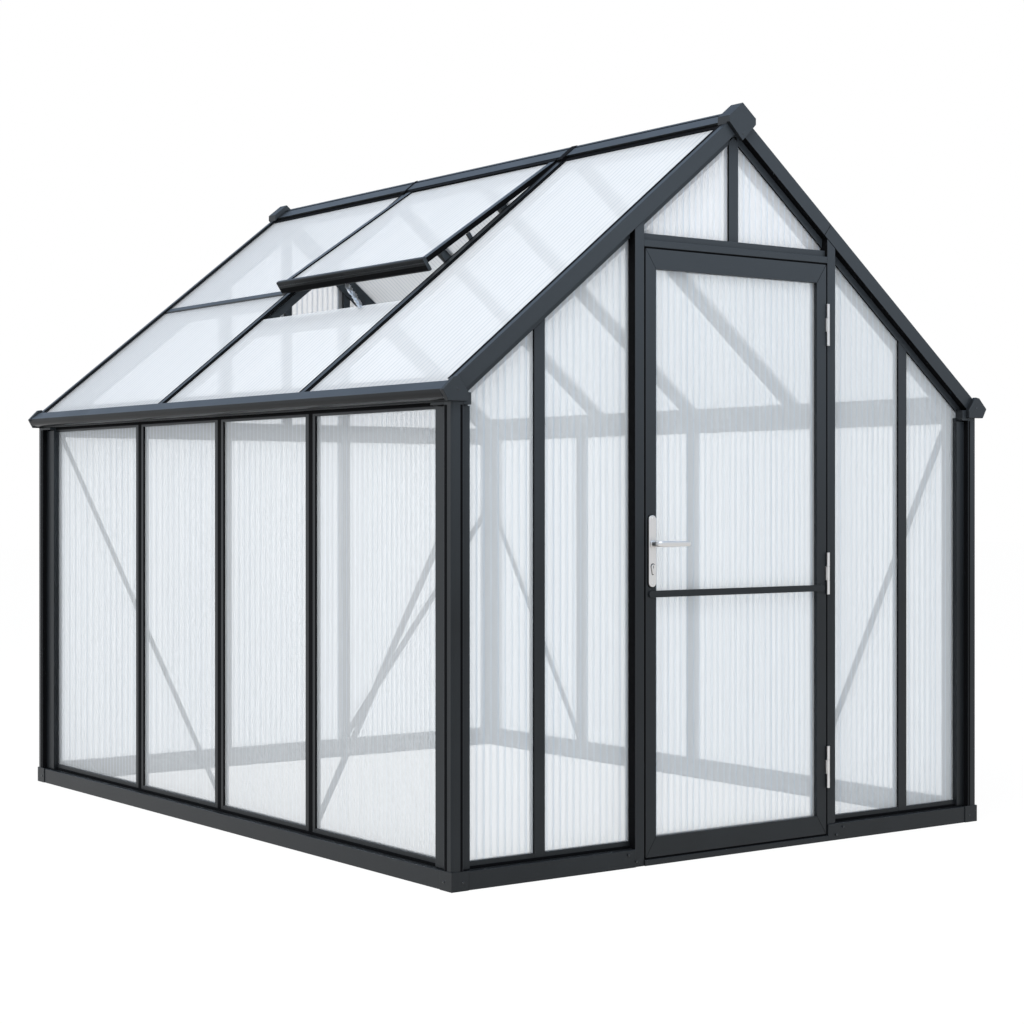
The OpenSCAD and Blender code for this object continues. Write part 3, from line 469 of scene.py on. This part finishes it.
def makeGaskets(values):
    form = bmesh.new()
    half, end = values["widthMm"] * mm / 2, values["endMm"] * mm
    for low, high in solidBoxes("side_wall_bar_caps"):
        side = -1 if low.x < 0 else 1
        face = low.x if side < 0 else high.x
        middle = (low.y + high.y) / 2 + values["shiftMm"] * mm
        outer = face + side * values["proudMm"] * mm
        inner = face - side * values["depthMm"] * mm
        edge = outer - side * values["roundMm"] * mm
        outline = [(inner, middle - half), (edge, middle - half), (outer, middle - half * 0.5),
                   (outer, middle + half * 0.5), (edge, middle + half), (inner, middle + half)]
        joinRings(form, [[(x, y, z) for x, y in outline] for z in (low.z + end, high.z - end)])
    makePiece(finishForm(form), "barGaskets", blackRubberAndShade)


makeGaskets(gasketValues)
print("gaskets made")


# Black strips that fill the grooves, gaps and joints of the frame: partly seals and joints, partly painted shade where
# those grooves and gaps lie in shade. Lengths in mm.
# On the roof, "along" is down the slope from the ridge and "lift" is off its surface.
sealAndShadeValues = {
    "proud": 0.4, "deep": 2.0, "postIn": 3, "postSide": (27, 41), "postFront": (33, 41), "postHigh": (62, 1529),
    "faceIn": 33, "plinthHigh": (60, 69), "eaveHigh": (1529, 1540), "flangeEnd": 88, "sideEnd": 124, "eaveEnd": 50,
    "doorEnd": 464, "ridgeIn": 51, "ridgeLowAlong": (56, 88), "ridgeHighAlong": (8, 16), "ridgeLift": 4.0,
    "ventAlongLift": (-6, 3), "rakeIn": (30, 46), "rakeAlong": (66, 1545), "rakeSeamAlong": 572, "rakeSeamWide": 1.8,
    "rakeSeamIn": 6, "rakeSeamLift": (-51, -1), "capEdge": 9, "capLift": -4.0, "beside": 9, "sheetLift": -10.5,
    "strapAlong": (-4, 92), "leafGap": (2.5, 6), "leafIn": (1, 2),
}
strapWidths = {440: 12, -652: 34}  # place along the ridge and width
coverAlong = ((-3, 8), (16, 66))  # from and to, down the slope
# The vent's lower edge: X and Z at the top and foot of its face that leans out, and that way out.
ventEdge = {"top": (-679.7, 2109.2), "foot": (-653.7, 2070.6), "out": (-0.829, -0.559), "seal": (0.56, 0.97),
            "bead": (0.3, 0.37), "beadProud": 1.2, "endMm": 1}


# Painted shade: black strips in the grooves beside the corner posts, over the plinth and under the eaves.
def addWallShadeStrips(form, values, sx):
    wide, long = halfW / mm, halfL / mm
    proud, deep = values["proud"], values["deep"]
    faceX, faceY = wide - values["faceIn"], long - values["faceIn"]
    postX, postY = wide - values["postIn"], long - values["postIn"]
    for sy in (-1, 1):
        a, b = values["postSide"]
        addBlock(form, (sx * (postX - deep), sx * (postX + proud)), (sy * (postY - b), sy * (postY - a)),
                 values["postHigh"])
        a, b = values["postFront"]
        addBlock(form, (sx * (postX - b), sx * (postX - a)), (sy * (postY - deep), sy * (postY + proud)),
                 values["postHigh"])
        start = values["doorEnd"] if sy < 0 else 0
        addBlock(form, (sx * start, sx * (wide - values["flangeEnd"])), (sy * (faceY - deep), sy * (faceY + proud)),
                 values["plinthHigh"])
    for z, end in (("plinthHigh", "sideEnd"), ("eaveHigh", "eaveEnd")):
        ends = long - values[end]
        addBlock(form, (sx * (faceX - deep), sx * (faceX + proud)), (-ends, ends), values[z])


# Painted shade under the ridge covers and along the rakes, and the straps over the ridge.
def addSlopeSealsAndShade(form, values, straps, side):
    long = halfL / mm
    end, lift, sheet = long - values["ridgeIn"], values["ridgeLift"], values["sheetLift"]
    ventY = [corner.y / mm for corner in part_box("vent_frame")]
    for y in ((-end, ventY[0]), (ventY[1], end)):
        addRoofStrip(form, side, values["ridgeLowAlong"], y, (sheet - 1, sheet + 4))
    addRoofStrip(form, side, values["ridgeLowAlong"], ventY, values["ventAlongLift"])
    addRoofStrip(form, side, values["ridgeHighAlong"], (-end, end), (-2, lift - 1))
    a, b = values["rakeIn"]
    for sy in (-1, 1):
        addRoofStrip(form, side, values["rakeAlong"], (sy * (long - b), sy * (long - a)), (-2, values["proud"]))
    for y, width in straps.items():
        addRoofStrip(form, side, values["strapAlong"], (y - width / 2, y + width / 2), (-2, lift + 1.5))


# A fine joint across each right-hand rake.
def addRakeSeams(form, values):
    along = values["rakeSeamAlong"]
    for sy in (-1, 1):
        face = sy * (halfL / mm - values["rakeSeamIn"])
        y = sorted((face - sy * values["deep"], face + sy * values["proud"]))
        addRoofStrip(form, -sy, (along, along + values["rakeSeamWide"]), y, values["rakeSeamLift"])


# On both edges of each roof bar's cap, and on the sheets beside it: black strips of painted shade along the bar.
def addBarShadeStrips(form, values):
    edge, beside, cap, sheet = (values[k] for k in ("capEdge", "beside", "capLift", "sheetLift"))
    for low, high in solidBoxes("roof_bar_caps"):
        side = -1 if low.x < 0 else 1
        along = sorted(abs(x) / mm / math.cos(slope) for x in (low.x, high.x))
        low, high = low.y / mm, high.y / mm
        for y in ((low, low + edge), (high - edge, high)):
            addRoofStrip(form, side, along, y, (cap - 3, cap + values["proud"]))
        for y in ((low - beside, low), (high, high + beside)):
            addRoofStrip(form, side, along, y, (sheet - 1, sheet + 3))


# Under the head rail and on the sill, where the leaf shuts: black strips of painted shade in the gaps.
def addLeafGapShade(form, values):
    low, high = (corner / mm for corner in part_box("door_stiles"))
    near, far = values["leafGap"]
    y = (low.y + values["leafIn"][0], high.y - values["leafIn"][1])
    for z in ((high.z + near, high.z + far), (low.z - far, low.z - near)):
        addBlock(form, (low.x, high.x), y, z)


# A strip along the vent's edge, on its face that leans out, between two shares of its depth.
def addVentStrip(form, values, shares, proud):
    low, high = (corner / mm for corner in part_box("vent_lower_bar"))
    top, foot, out = (Vector((values[k][0], 0, values[k][1])) for k in ("top", "foot", "out"))
    a, b = (top.lerp(foot, share) for share in shares)
    corners = [a - out, b - out, b + out * proud, a + out * proud]
    addPrism(form, *([(c.x, y, c.z) for c in corners] for y in (low.y + values["endMm"], high.y - values["endMm"])))


def makeSealsAndShade(values, straps, vent):
    form = bmesh.new()
    for side in (-1, 1):
        addWallShadeStrips(form, values, side)
        addSlopeSealsAndShade(form, values, straps, side)
    addRakeSeams(form, values)
    addBarShadeStrips(form, values)
    addLeafGapShade(form, values)
    # The lower part of the vent edge's face is painted black: painted shade.
    addVentStrip(form, vent, vent["seal"], values["proud"])
    makePiece(finishForm(form), "frameSealsAndPaintedShade", blackRubberAndShade)
    form = bmesh.new()
    addVentStrip(form, vent, vent["bead"], vent["beadProud"])
    makePiece(finishForm(form), "ventEdgeBead", frameCoat, "house")


def makeRidgeCovers(values, places):
    form = bmesh.new()
    end = halfL / mm - values["ridgeIn"]
    for side in (-1, 1):
        for along in places:
            addRoofStrip(form, side, along, (-end, end), (-2, values["ridgeLift"]))
    makePiece(finishForm(form), "ridgeCovers", frameCoat, "house")


makeSealsAndShade(sealAndShadeValues, strapWidths, ventEdge)
makeRidgeCovers(sealAndShadeValues, coverAlong)
print("seals made")


# Covers on the flanges of the corner posts.
coverValues = {"front": {"fromMm": 46, "toMm": 87, "thickMm": 12}, "side": {"fromMm": 46, "toMm": 122, "thickMm": 15},
               "planeInMm": 36, "deepMm": 3, "highMm": (62, 1527), "edgeMm": 1.5}


def makeCovers(values):
    form = bmesh.new()
    wide, long = halfW / mm, halfL / mm
    front, side = values["front"], values["side"]
    faceX, faceY, deep = wide - values["planeInMm"], long - values["planeInMm"], values["deepMm"]
    for sx in (-1, 1):
        for sy in (-1, 1):
            addBlock(form, (sx * (wide - front["toMm"]), sx * (wide - front["fromMm"])),
                     (sy * (faceY - deep), sy * (faceY + front["thickMm"])), values["highMm"])
            addBlock(form, (sx * (faceX - deep), sx * (faceX + side["thickMm"])),
                     (sy * (long - side["toMm"]), sy * (long - side["fromMm"])), values["highMm"])
    finishForm(form)
    softenEdges(form, values["edgeMm"] * mm)
    makePiece(form, "postCovers", frameCoat, "house")


makeCovers(coverValues)
print("covers made")


# Fine joint lines where the leaf's members meet.
mitreValues = {"widthMm": 1.4, "proudMm": 0.12, "deepMm": 1.0, "railHighMm": 68}


def makeMitres(values):
    form = bmesh.new()
    low, high = (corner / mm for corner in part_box("door_stiles"))
    first = solidBoxes("door_stiles")[0]
    stile, rail = (first[1].x - first[0].x) / mm, values["railHighMm"]
    for x, inX in ((low.x, stile), (high.x, -stile)):
        for z, inZ in ((low.z, rail), (high.z, -rail)):
            start, end = Vector((x, 0, z)), Vector((x + inX, 0, z + inZ))
            across = Vector((0, 1, 0)).cross(end - start).normalized() * values["widthMm"] / 2
            corners = (start - across, end - across, end + across, start + across)
            for face, outward in ((low.y, -1), (high.y, 1)):
                depths = (face - outward * values["deepMm"], face + outward * values["proudMm"])
                addPrism(form, *([(p.x, y, p.z) for p in corners] for y in depths))
    makePiece(finishForm(form), "leafMitreLines", blackRubberAndShade, "door")


makeMitres(mitreValues)
print("joint lines made")


# Pan-head screws: shares of the radius and the rise for the dome, and of the rise for the socket.
screwValues = {"radiusMm": 4.2, "riseMm": 1.8, "socketMm": 1.5, "around": 18,
               "dome": ((1.0, -0.2), (1.0, 0.35), (0.92, 0.62), (0.74, 0.86), (0.5, 1.0)), "socket": (1.0, 0.2)}
screwPlaces = {"bracketAlongMm": 44, "bracketHighMm": 27, "capInMm": 16, "capHighMm": 1577, "ridgeHighMm": 24,
               "footMm": ((502, 45), (468, 20)), "barEndMm": 402, "capScale": 0.9}


# A domed head with a hexagonal socket, standing on place and facing along axis.
def addScrew(form, place, axis, values=screwValues, scale=1.0):
    turn = Vector(axis).to_track_quat("Z", "Y").to_matrix().to_4x4()
    radius, rise, socket = (values[k] * mm * scale for k in ("radiusMm", "riseMm", "socketMm"))
    around = values["around"]
    turns = [math.tau * i / around for i in range(around)]
    rings = [[Vector((math.cos(a) * radius * share, math.sin(a) * radius * share, rise * height)) for a in turns]
             for share, height in values["dome"]]
    corners = [Vector((math.cos(math.tau * k / 6), math.sin(math.tau * k / 6), 0)) for k in range(7)]
    for height in values["socket"]:
        ring = [corners[k].lerp(corners[k + 1], part / 3) * socket for k, part in (divmod(i, 3) for i in range(around))]
        rings.append([point + Vector((0, 0, rise * height)) for point in ring])
    joinRings(form, [[Vector(place) + (turn @ point) for point in ring] for ring in rings])


def makeScrews(values):
    form = bmesh.new()
    along, up = values["bracketAlongMm"] * mm, values["bracketHighMm"] * mm
    capIn, capUp, scale = values["capInMm"] * mm, values["capHighMm"] * mm, values["capScale"]
    capFace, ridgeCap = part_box("gutter_end_caps")[0].y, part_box("ridge_end_caps")[0]
    ends = [(sx, sy) for sx in (-1, 1) for sy in (-1, 1)]
    for sx, sy in ends:
        addScrew(form, (sx * halfW, sy * (halfL - along), up), (sx, 0, 0))
        addScrew(form, (sx * (halfW - along), sy * halfL, up), (0, sy, 0))
        addScrew(form, (sx * (halfW - capIn), -sy * capFace, capUp), (0, sy, 0), scale=scale)
    for sy in (-1, 1):
        addScrew(form, (0, -sy * ridgeCap.y, ridgeCap.z + values["ridgeHighMm"] * mm), (0, sy, 0), scale=scale)
    for sx, sy in ends:
        for x, z in values["footMm"]:
            addScrew(form, (sx * x * mm, sy * halfL, z * mm), (0, sy, 0))
    makePiece(form, "frameScrews", screwSteel, "house")

    form = bmesh.new()
    leafFront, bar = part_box("door_stiles")[0].y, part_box("door_cross_bar")
    addScrew(form, (values["barEndMm"] * mm, leafFront, (bar[0].z + bar[1].z) / 2), (0, -1, 0))
    makePiece(form, "leafScrews", screwSteel, "door")


makeScrews(screwPlaces)
print("screws made")


plateValues = {"thickMm": 8, "cornerMm": 15.5, "edgeMm": 2.0, "keyDropMm": 77, "keyWideMm": 17, "keyTallMm": 33,
               "keyProudMm": 3.5, "keyFoot": 0.55, "gapGrow": 1.16, "gapProudMm": 0.5, "slotMm": (1.1, -5, 4),
               "slotProudMm": 3.8, "shadeLineMm": 1.8, "shadeProudMm": 1.2, "screwInMm": 11, "screwScale": 0.75,
               "rimMm": {"key": 0.8, "gap": 0.2, "shade": 0.3}, "sunkMm": {"key": 2, "gap": 1}}
# The lever's cross-sections: how far from its spindle (or back from its end) and off the plate (or back
# from the lever's front), the turn toward the bar's direction, and half its depth and height.
leverValues = {"around": 24, "sections": (
    ("spindle", 0, "plate", 0.6, 0, 11.5, 11.5), ("spindle", 0, "plate", 3, 0, 11.5, 11.5),
    ("spindle", 0, "plate", 4.5, 0, 9.5, 9.5), ("spindle", 0, "plate", 24, 0, 9.2, 9.2),
    ("spindle", 1.5, "plate", 33, 20, 9.2, 9.6), ("spindle", 7, "plate", 39.5, 52, 8.0, 10.2),
    ("spindle", 16, "front", -6.2, 80, 6.4, 10.4), ("spindle", 28, "front", -6, 90, 5.8, 9.8),
    ("spindle", 60, "front", -6, 90, 5.2, 9.0), ("end", -8, "front", -6, 90, 4.8, 8.6),
    ("end", -2.5, "front", -6, 90, 4.4, 7.6), ("end", 0, "front", -6, 90, 2.6, 5.4),
)}


# A closed outline in X and Z, drawn out along Y with a rounded front rim.
def addPlate(form, outline, back, front, edge):
    rim = math.copysign(edge, front - back)
    steps = [(back, 0.0), (front - rim, 0.0)]
    for a in (math.pi / 2 * i / 4 for i in range(1, 5)):
        steps.append((front - rim * (1 - math.sin(a)), edge * (1 - math.cos(a))))
    middle = sum((Vector((x, 0, z)) for x, z in outline), Vector()) / len(outline)
    wide = max(abs(x - middle.x) for x, z in outline)
    tall = max(abs(z - middle.z) for x, z in outline)
    joinRings(form, [[(middle.x + (x - middle.x) * (wide - inset) / wide, y,
                       middle.z + (z - middle.z) * (tall - inset) / tall) for x, z in outline] for y, inset in steps])


def roundedBox(x0, x1, z0, z1, radius, count=7):
    points = []
    for cx, cz, start in ((x1 - radius, z1 - radius, 0), (x0 + radius, z1 - radius, 90),
                          (x0 + radius, z0 + radius, 180), (x1 - radius, z0 + radius, 270)):
        for i in range(count):
            a = math.radians(start + 90 * i / (count - 1))
            points.append((cx + radius * math.cos(a), cz + radius * math.sin(a)))
    return points


# A pear-shaped outline round a key cylinder.
def keyOutline(x, z, wide, tall, foot):
    head = (math.radians(-35 + 250 * i / 20) for i in range(21))
    tail = (math.radians(215 + 110 * i / 8) for i in range(9))
    points = [(x + wide * math.cos(a), z + wide * math.sin(a)) for a in head]
    return points + [(x + wide * foot * math.cos(a), z - tall * 0.62 + wide * foot * math.sin(a)) for a in tail]


def makePlates(values):
    low, high = solidBoxes("door_handle_plates")[0]
    leaf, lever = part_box("door_stiles"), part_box("door_lever")
    form, marks = bmesh.new(), bmesh.new()
    spindleX = (low.x + high.x) / 2
    keyZ = (lever[0].z + lever[1].z) / 2 - values["keyDropMm"] * mm
    wide, tall = values["keyWideMm"] * mm / 2, values["keyTallMm"] * mm
    corner, line = values["cornerMm"] * mm, values["shadeLineMm"] * mm
    keyhole = keyOutline(spindleX, keyZ, wide, tall, values["keyFoot"])
    # The dark gap round the cylinder, its slot and the shade line round the plate.
    middle = Vector((spindleX, keyZ - tall * 0.3))
    gap = [tuple(middle + (Vector(point) - middle) * values["gapGrow"]) for point in keyhole]
    slotHalf, slotLow, slotHigh = values["slotMm"]
    rims, sunk = ({name: size * mm for name, size in values[key].items()} for key in ("rimMm", "sunkMm"))
    for face, outward in ((leaf[0].y, -1), (leaf[1].y, 1)):
        front = face + outward * values["thickMm"] * mm
        addPlate(form, roundedBox(low.x, high.x, low.z, high.z, corner, 9), face, front, values["edgeMm"] * mm)
        addPlate(form, keyhole, front - outward * sunk["key"], front + outward * values["keyProudMm"] * mm, rims["key"])
        addPlate(marks, gap, front - outward * sunk["gap"], front + outward * values["gapProudMm"] * mm, rims["gap"])
        addBlock(marks, (spindleX / mm - slotHalf, spindleX / mm + slotHalf),
                 sorted((front + outward * depth * mm) / mm for depth in (1, values["slotProudMm"])),
                 (keyZ / mm + slotLow, keyZ / mm + slotHigh))
        addPlate(marks, roundedBox(low.x - line, high.x + line, low.z - line, high.z + line, corner + line, 9),
                 face, face + outward * values["shadeProudMm"] * mm, rims["shade"])
        for z in (high.z - values["screwInMm"] * mm, low.z + values["screwInMm"] * mm):
            addScrew(form, (spindleX, front, z), (0, outward, 0), scale=values["screwScale"])
    makePiece(finishForm(marks), "handleShadeLines", blackRubberAndShade, "door")
    piece = makePiece(finishForm(form), "handlePlates", satin, "door")
    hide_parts("door_handle_plates")


# Turned necks that grow out of the plates and bend into flat bars.
def makeLever(values, thickMm):
    form = bmesh.new()
    plate, leaf, lever = solidBoxes("door_handle_plates")[0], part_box("door_stiles"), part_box("door_lever")
    fromX = {"spindle": (plate[0].x + plate[1].x) / 2, "end": lever[1].x}
    middleZ = (lever[0].z + lever[1].z) / 2
    for stile, tip, outward in ((leaf[0].y, lever[0].y, -1), (leaf[1].y, lever[1].y, 1)):
        fromY = {"plate": stile + outward * thickMm * mm, "front": tip}
        rings = []
        for originX, x, originY, y, turn, deep, tall in values["sections"]:
            place = Vector((fromX[originX] + x * mm, fromY[originY] + outward * y * mm, middleZ))
            across = Vector((math.cos(math.radians(turn)), -outward * math.sin(math.radians(turn)), 0))
            power = 0.7 - 0.18 * turn / 90  # round at the spindle, squarer along the bar
            ring = []
            for a in (math.tau * i / values["around"] for i in range(values["around"])):
                c, s = (math.copysign(abs(part) ** power, part) for part in (math.cos(a), math.sin(a)))
                ring.append(place + across * (deep * mm * c) + Vector((0, 0, tall * mm * s)))
            rings.append(ring)
        joinRings(form, rings)
    piece = makePiece(finishForm(form), "leverHandle", satin, "lever", 50)
    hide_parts("door_lever")


makePlates(plateValues)
makeLever(leverValues, plateValues["thickMm"])
print("handle made")


# The vent's stay, crumpled like thin foil, and the links at the near side of the vent.
stayValues = {"rings": 22, "around": 12, "radiusMm": 11.0, "creaseMm": 4.5, "flat": 0.6, "endShare": 0.45, "endMm": 20}
linkValues = {"alongMm": ((742, 30), (600, 18)), "widthMm": 16, "y": (-626, -617), "lowLift": -8}


def makeStay(values):
    verts = [v.co.copy() for v in nodes["vent_stay"].data.vertices]
    reach, lowest, highest = values["endMm"] * mm, min(v.z for v in verts), max(v.z for v in verts)
    foot = [v for v in verts if v.z < lowest + reach]
    head = [v for v in verts if v.z > highest - reach]
    start, end = (sum(group, Vector()) / len(group) for group in (foot, head))
    axis = (end - start).normalized()
    side = axis.cross(Vector((0, 0, 1))).normalized()
    other = axis.cross(side) * values["flat"]
    form, rings = bmesh.new(), []
    for i in range(values["rings"]):
        share = i / (values["rings"] - 1)
        swell = values["endShare"] + (1 - values["endShare"]) * math.sin(math.pi * share) ** 0.4
        ring = []
        for a in (math.tau * j / values["around"] for j in range(values["around"])):
            radius = values["radiusMm"] * swell + random.uniform(-1, 1) * values["creaseMm"]
            ring.append(start.lerp(end, share) + (side * math.cos(a) + other * math.sin(a)) * radius * mm)
        rings.append(ring)
    joinRings(form, rings)
    piece = makePiece(finishForm(form), "ventStay", satin, "house", 8, False)
    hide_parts("vent_stay")


def makeLinks(values):
    form = bmesh.new()
    for along, top in values["alongMm"]:
        half = values["widthMm"] / 2
        addRoofStrip(form, -1, (along - half, along + half), values["y"], (values["lowLift"], top))
    makePiece(finishForm(form), "ventLinks", frameCoat, "house")


makeStay(stayValues)
makeLinks(linkValues)
print("vent stay and links made")


floorValues = {"colour": "eeeff0", "sizeM": 80, "glow": 0.95, "insideShade": 0.72, "insideInMm": 10}


# 1 for rays of any of these kinds, which show a plain pale setting in place of the lit one.
def rayShare(tree, path, kinds):
    share = path.outputs[kinds[0]]
    for kind in kinds[1:]:
        share = addNode(tree, "ShaderNodeMath", {"operation": "MAXIMUM"}, {0: share, 1: path.outputs[kind]}).outputs[0]
    return share


def makeFloor(values):
    mesh = bpy.data.meshes.new("floor")
    half = values["sizeM"] / 2
    mesh.from_pydata([(-half, -half, 0), (half, -half, 0), (half, half, 0), (-half, half, 0)], [], [(0, 1, 2, 3)])
    floor = bpy.data.objects.new("floor", mesh)
    bpy.context.scene.collection.objects.link(floor)
    material, tree = startMaterial("paleStudioFloor")
    path = addNode(tree, "ShaderNodeLightPath")
    seen = rayShare(tree, path, ("Is Camera Ray", "Is Transmission Ray", "Is Glossy Ray"))
    share = addNode(tree, "ShaderNodeMath", {"operation": "MULTIPLY", 1: values["glow"]}, {0: seen})
    paint = addNode(tree, "ShaderNodeBsdfDiffuse", {"Color": linear(values["colour"])})
    # Inside the walls the floor's glow is painted darker: a painted shadow of the sheets.
    across = addNode(tree, "ShaderNodeSeparateXYZ", {},
                     {"Vector": addNode(tree, "ShaderNodeTexCoord").outputs["Object"]})
    within = []
    for axis, half in (("X", halfW), ("Y", halfL)):
        size = addNode(tree, "ShaderNodeMath", {"operation": "ABSOLUTE"}, {0: across.outputs[axis]})
        within.append(addNode(tree, "ShaderNodeMath", {"operation": "LESS_THAN", 1: half - values["insideInMm"] * mm},
                              {0: size.outputs[0]}).outputs[0])
    both = addNode(tree, "ShaderNodeMath", {"operation": "MULTIPLY"}, {0: within[0], 1: within[1]})
    level = addNode(tree, "ShaderNodeMapRange", {"To Min": 1.0, "To Max": values["insideShade"]},
                    {"Value": both.outputs[0]})
    glow = addNode(tree, "ShaderNodeEmission", {}, {"Strength": level.outputs[0]})
    mix = addNode(tree, "ShaderNodeMixShader", {}, {0: share.outputs[0], 1: paint.outputs[0], 2: glow.outputs[0]})
    addNode(tree, "ShaderNodeOutputMaterial", {}, {"Surface": mix.outputs[0]})
    mesh.materials.append(material)


# "above" is the cooler part of the room that only gloss shows, full from "aboveFrom" up. It goes past 1, so it
# is given as linear light.
worldValues = {"colour": "fbfdff", "above": (0.64, 0.82, 1.08, 1.0), "aboveFrom": 0.45, "strength": 1.07}


def makeWorld(values):
    world = bpy.data.worlds.new("studio")
    bpy.context.scene.world = world
    world.use_nodes = True
    tree = world.node_tree
    tree.nodes.clear()
    path = addNode(tree, "ShaderNodeLightPath")
    seen = rayShare(tree, path, ("Is Camera Ray", "Is Transmission Ray"))
    up = addNode(tree, "ShaderNodeSeparateXYZ", {},
                 {"Vector": addNode(tree, "ShaderNodeTexCoord").outputs["Generated"]})
    high = addNode(tree, "ShaderNodeMapRange", {"From Max": values["aboveFrom"]}, {"Value": up.outputs["Z"]})
    gloss = addNode(tree, "ShaderNodeMath", {"operation": "MULTIPLY"},
                    {0: high.outputs[0], 1: path.outputs["Is Glossy Ray"]})
    tone = addNode(tree, "ShaderNodeMix", {"data_type": "RGBA", "A": linear(values["colour"]), "B": values["above"]},
                   {"Factor": gloss.outputs[0]})
    room = addNode(tree, "ShaderNodeBackground", {"Strength": values["strength"]}, {"Color": tone.outputs[2]})
    white = addNode(tree, "ShaderNodeBackground", {"Color": (1, 1, 1, 1), "Strength": 1.0})
    mix = addNode(tree, "ShaderNodeMixShader", {}, {0: seen, 1: room.outputs[0], 2: white.outputs[0]})
    addNode(tree, "ShaderNodeOutputWorld", {}, {"Surface": mix.outputs[0]})


lamps = {
    "topLeft": {"place": (-4.2, -4.2, 8.0), "aim": (0, 0, 1.2), "sizeM": 4.0, "power": 640},
    "backLeft": {"place": (-6.0, 6.0, 4.5), "aim": (0, 0, 1.2), "sizeM": 4.0, "power": 110},
}


def makeLamps(values):
    for name, lamp in values.items():
        data = bpy.data.lights.new(name, "AREA")
        data.energy = lamp["power"]
        data.size = lamp["sizeM"]
        item = bpy.data.objects.new(name, data)
        item.location = lamp["place"]
        item.rotation_euler = (Vector(lamp["aim"]) - Vector(lamp["place"])).to_track_quat("-Z", "Y").to_euler()
        bpy.context.scene.collection.objects.link(item)


makeFloor(floorValues)
makeWorld(worldValues)
makeLamps(lamps)
print("floor and light made")
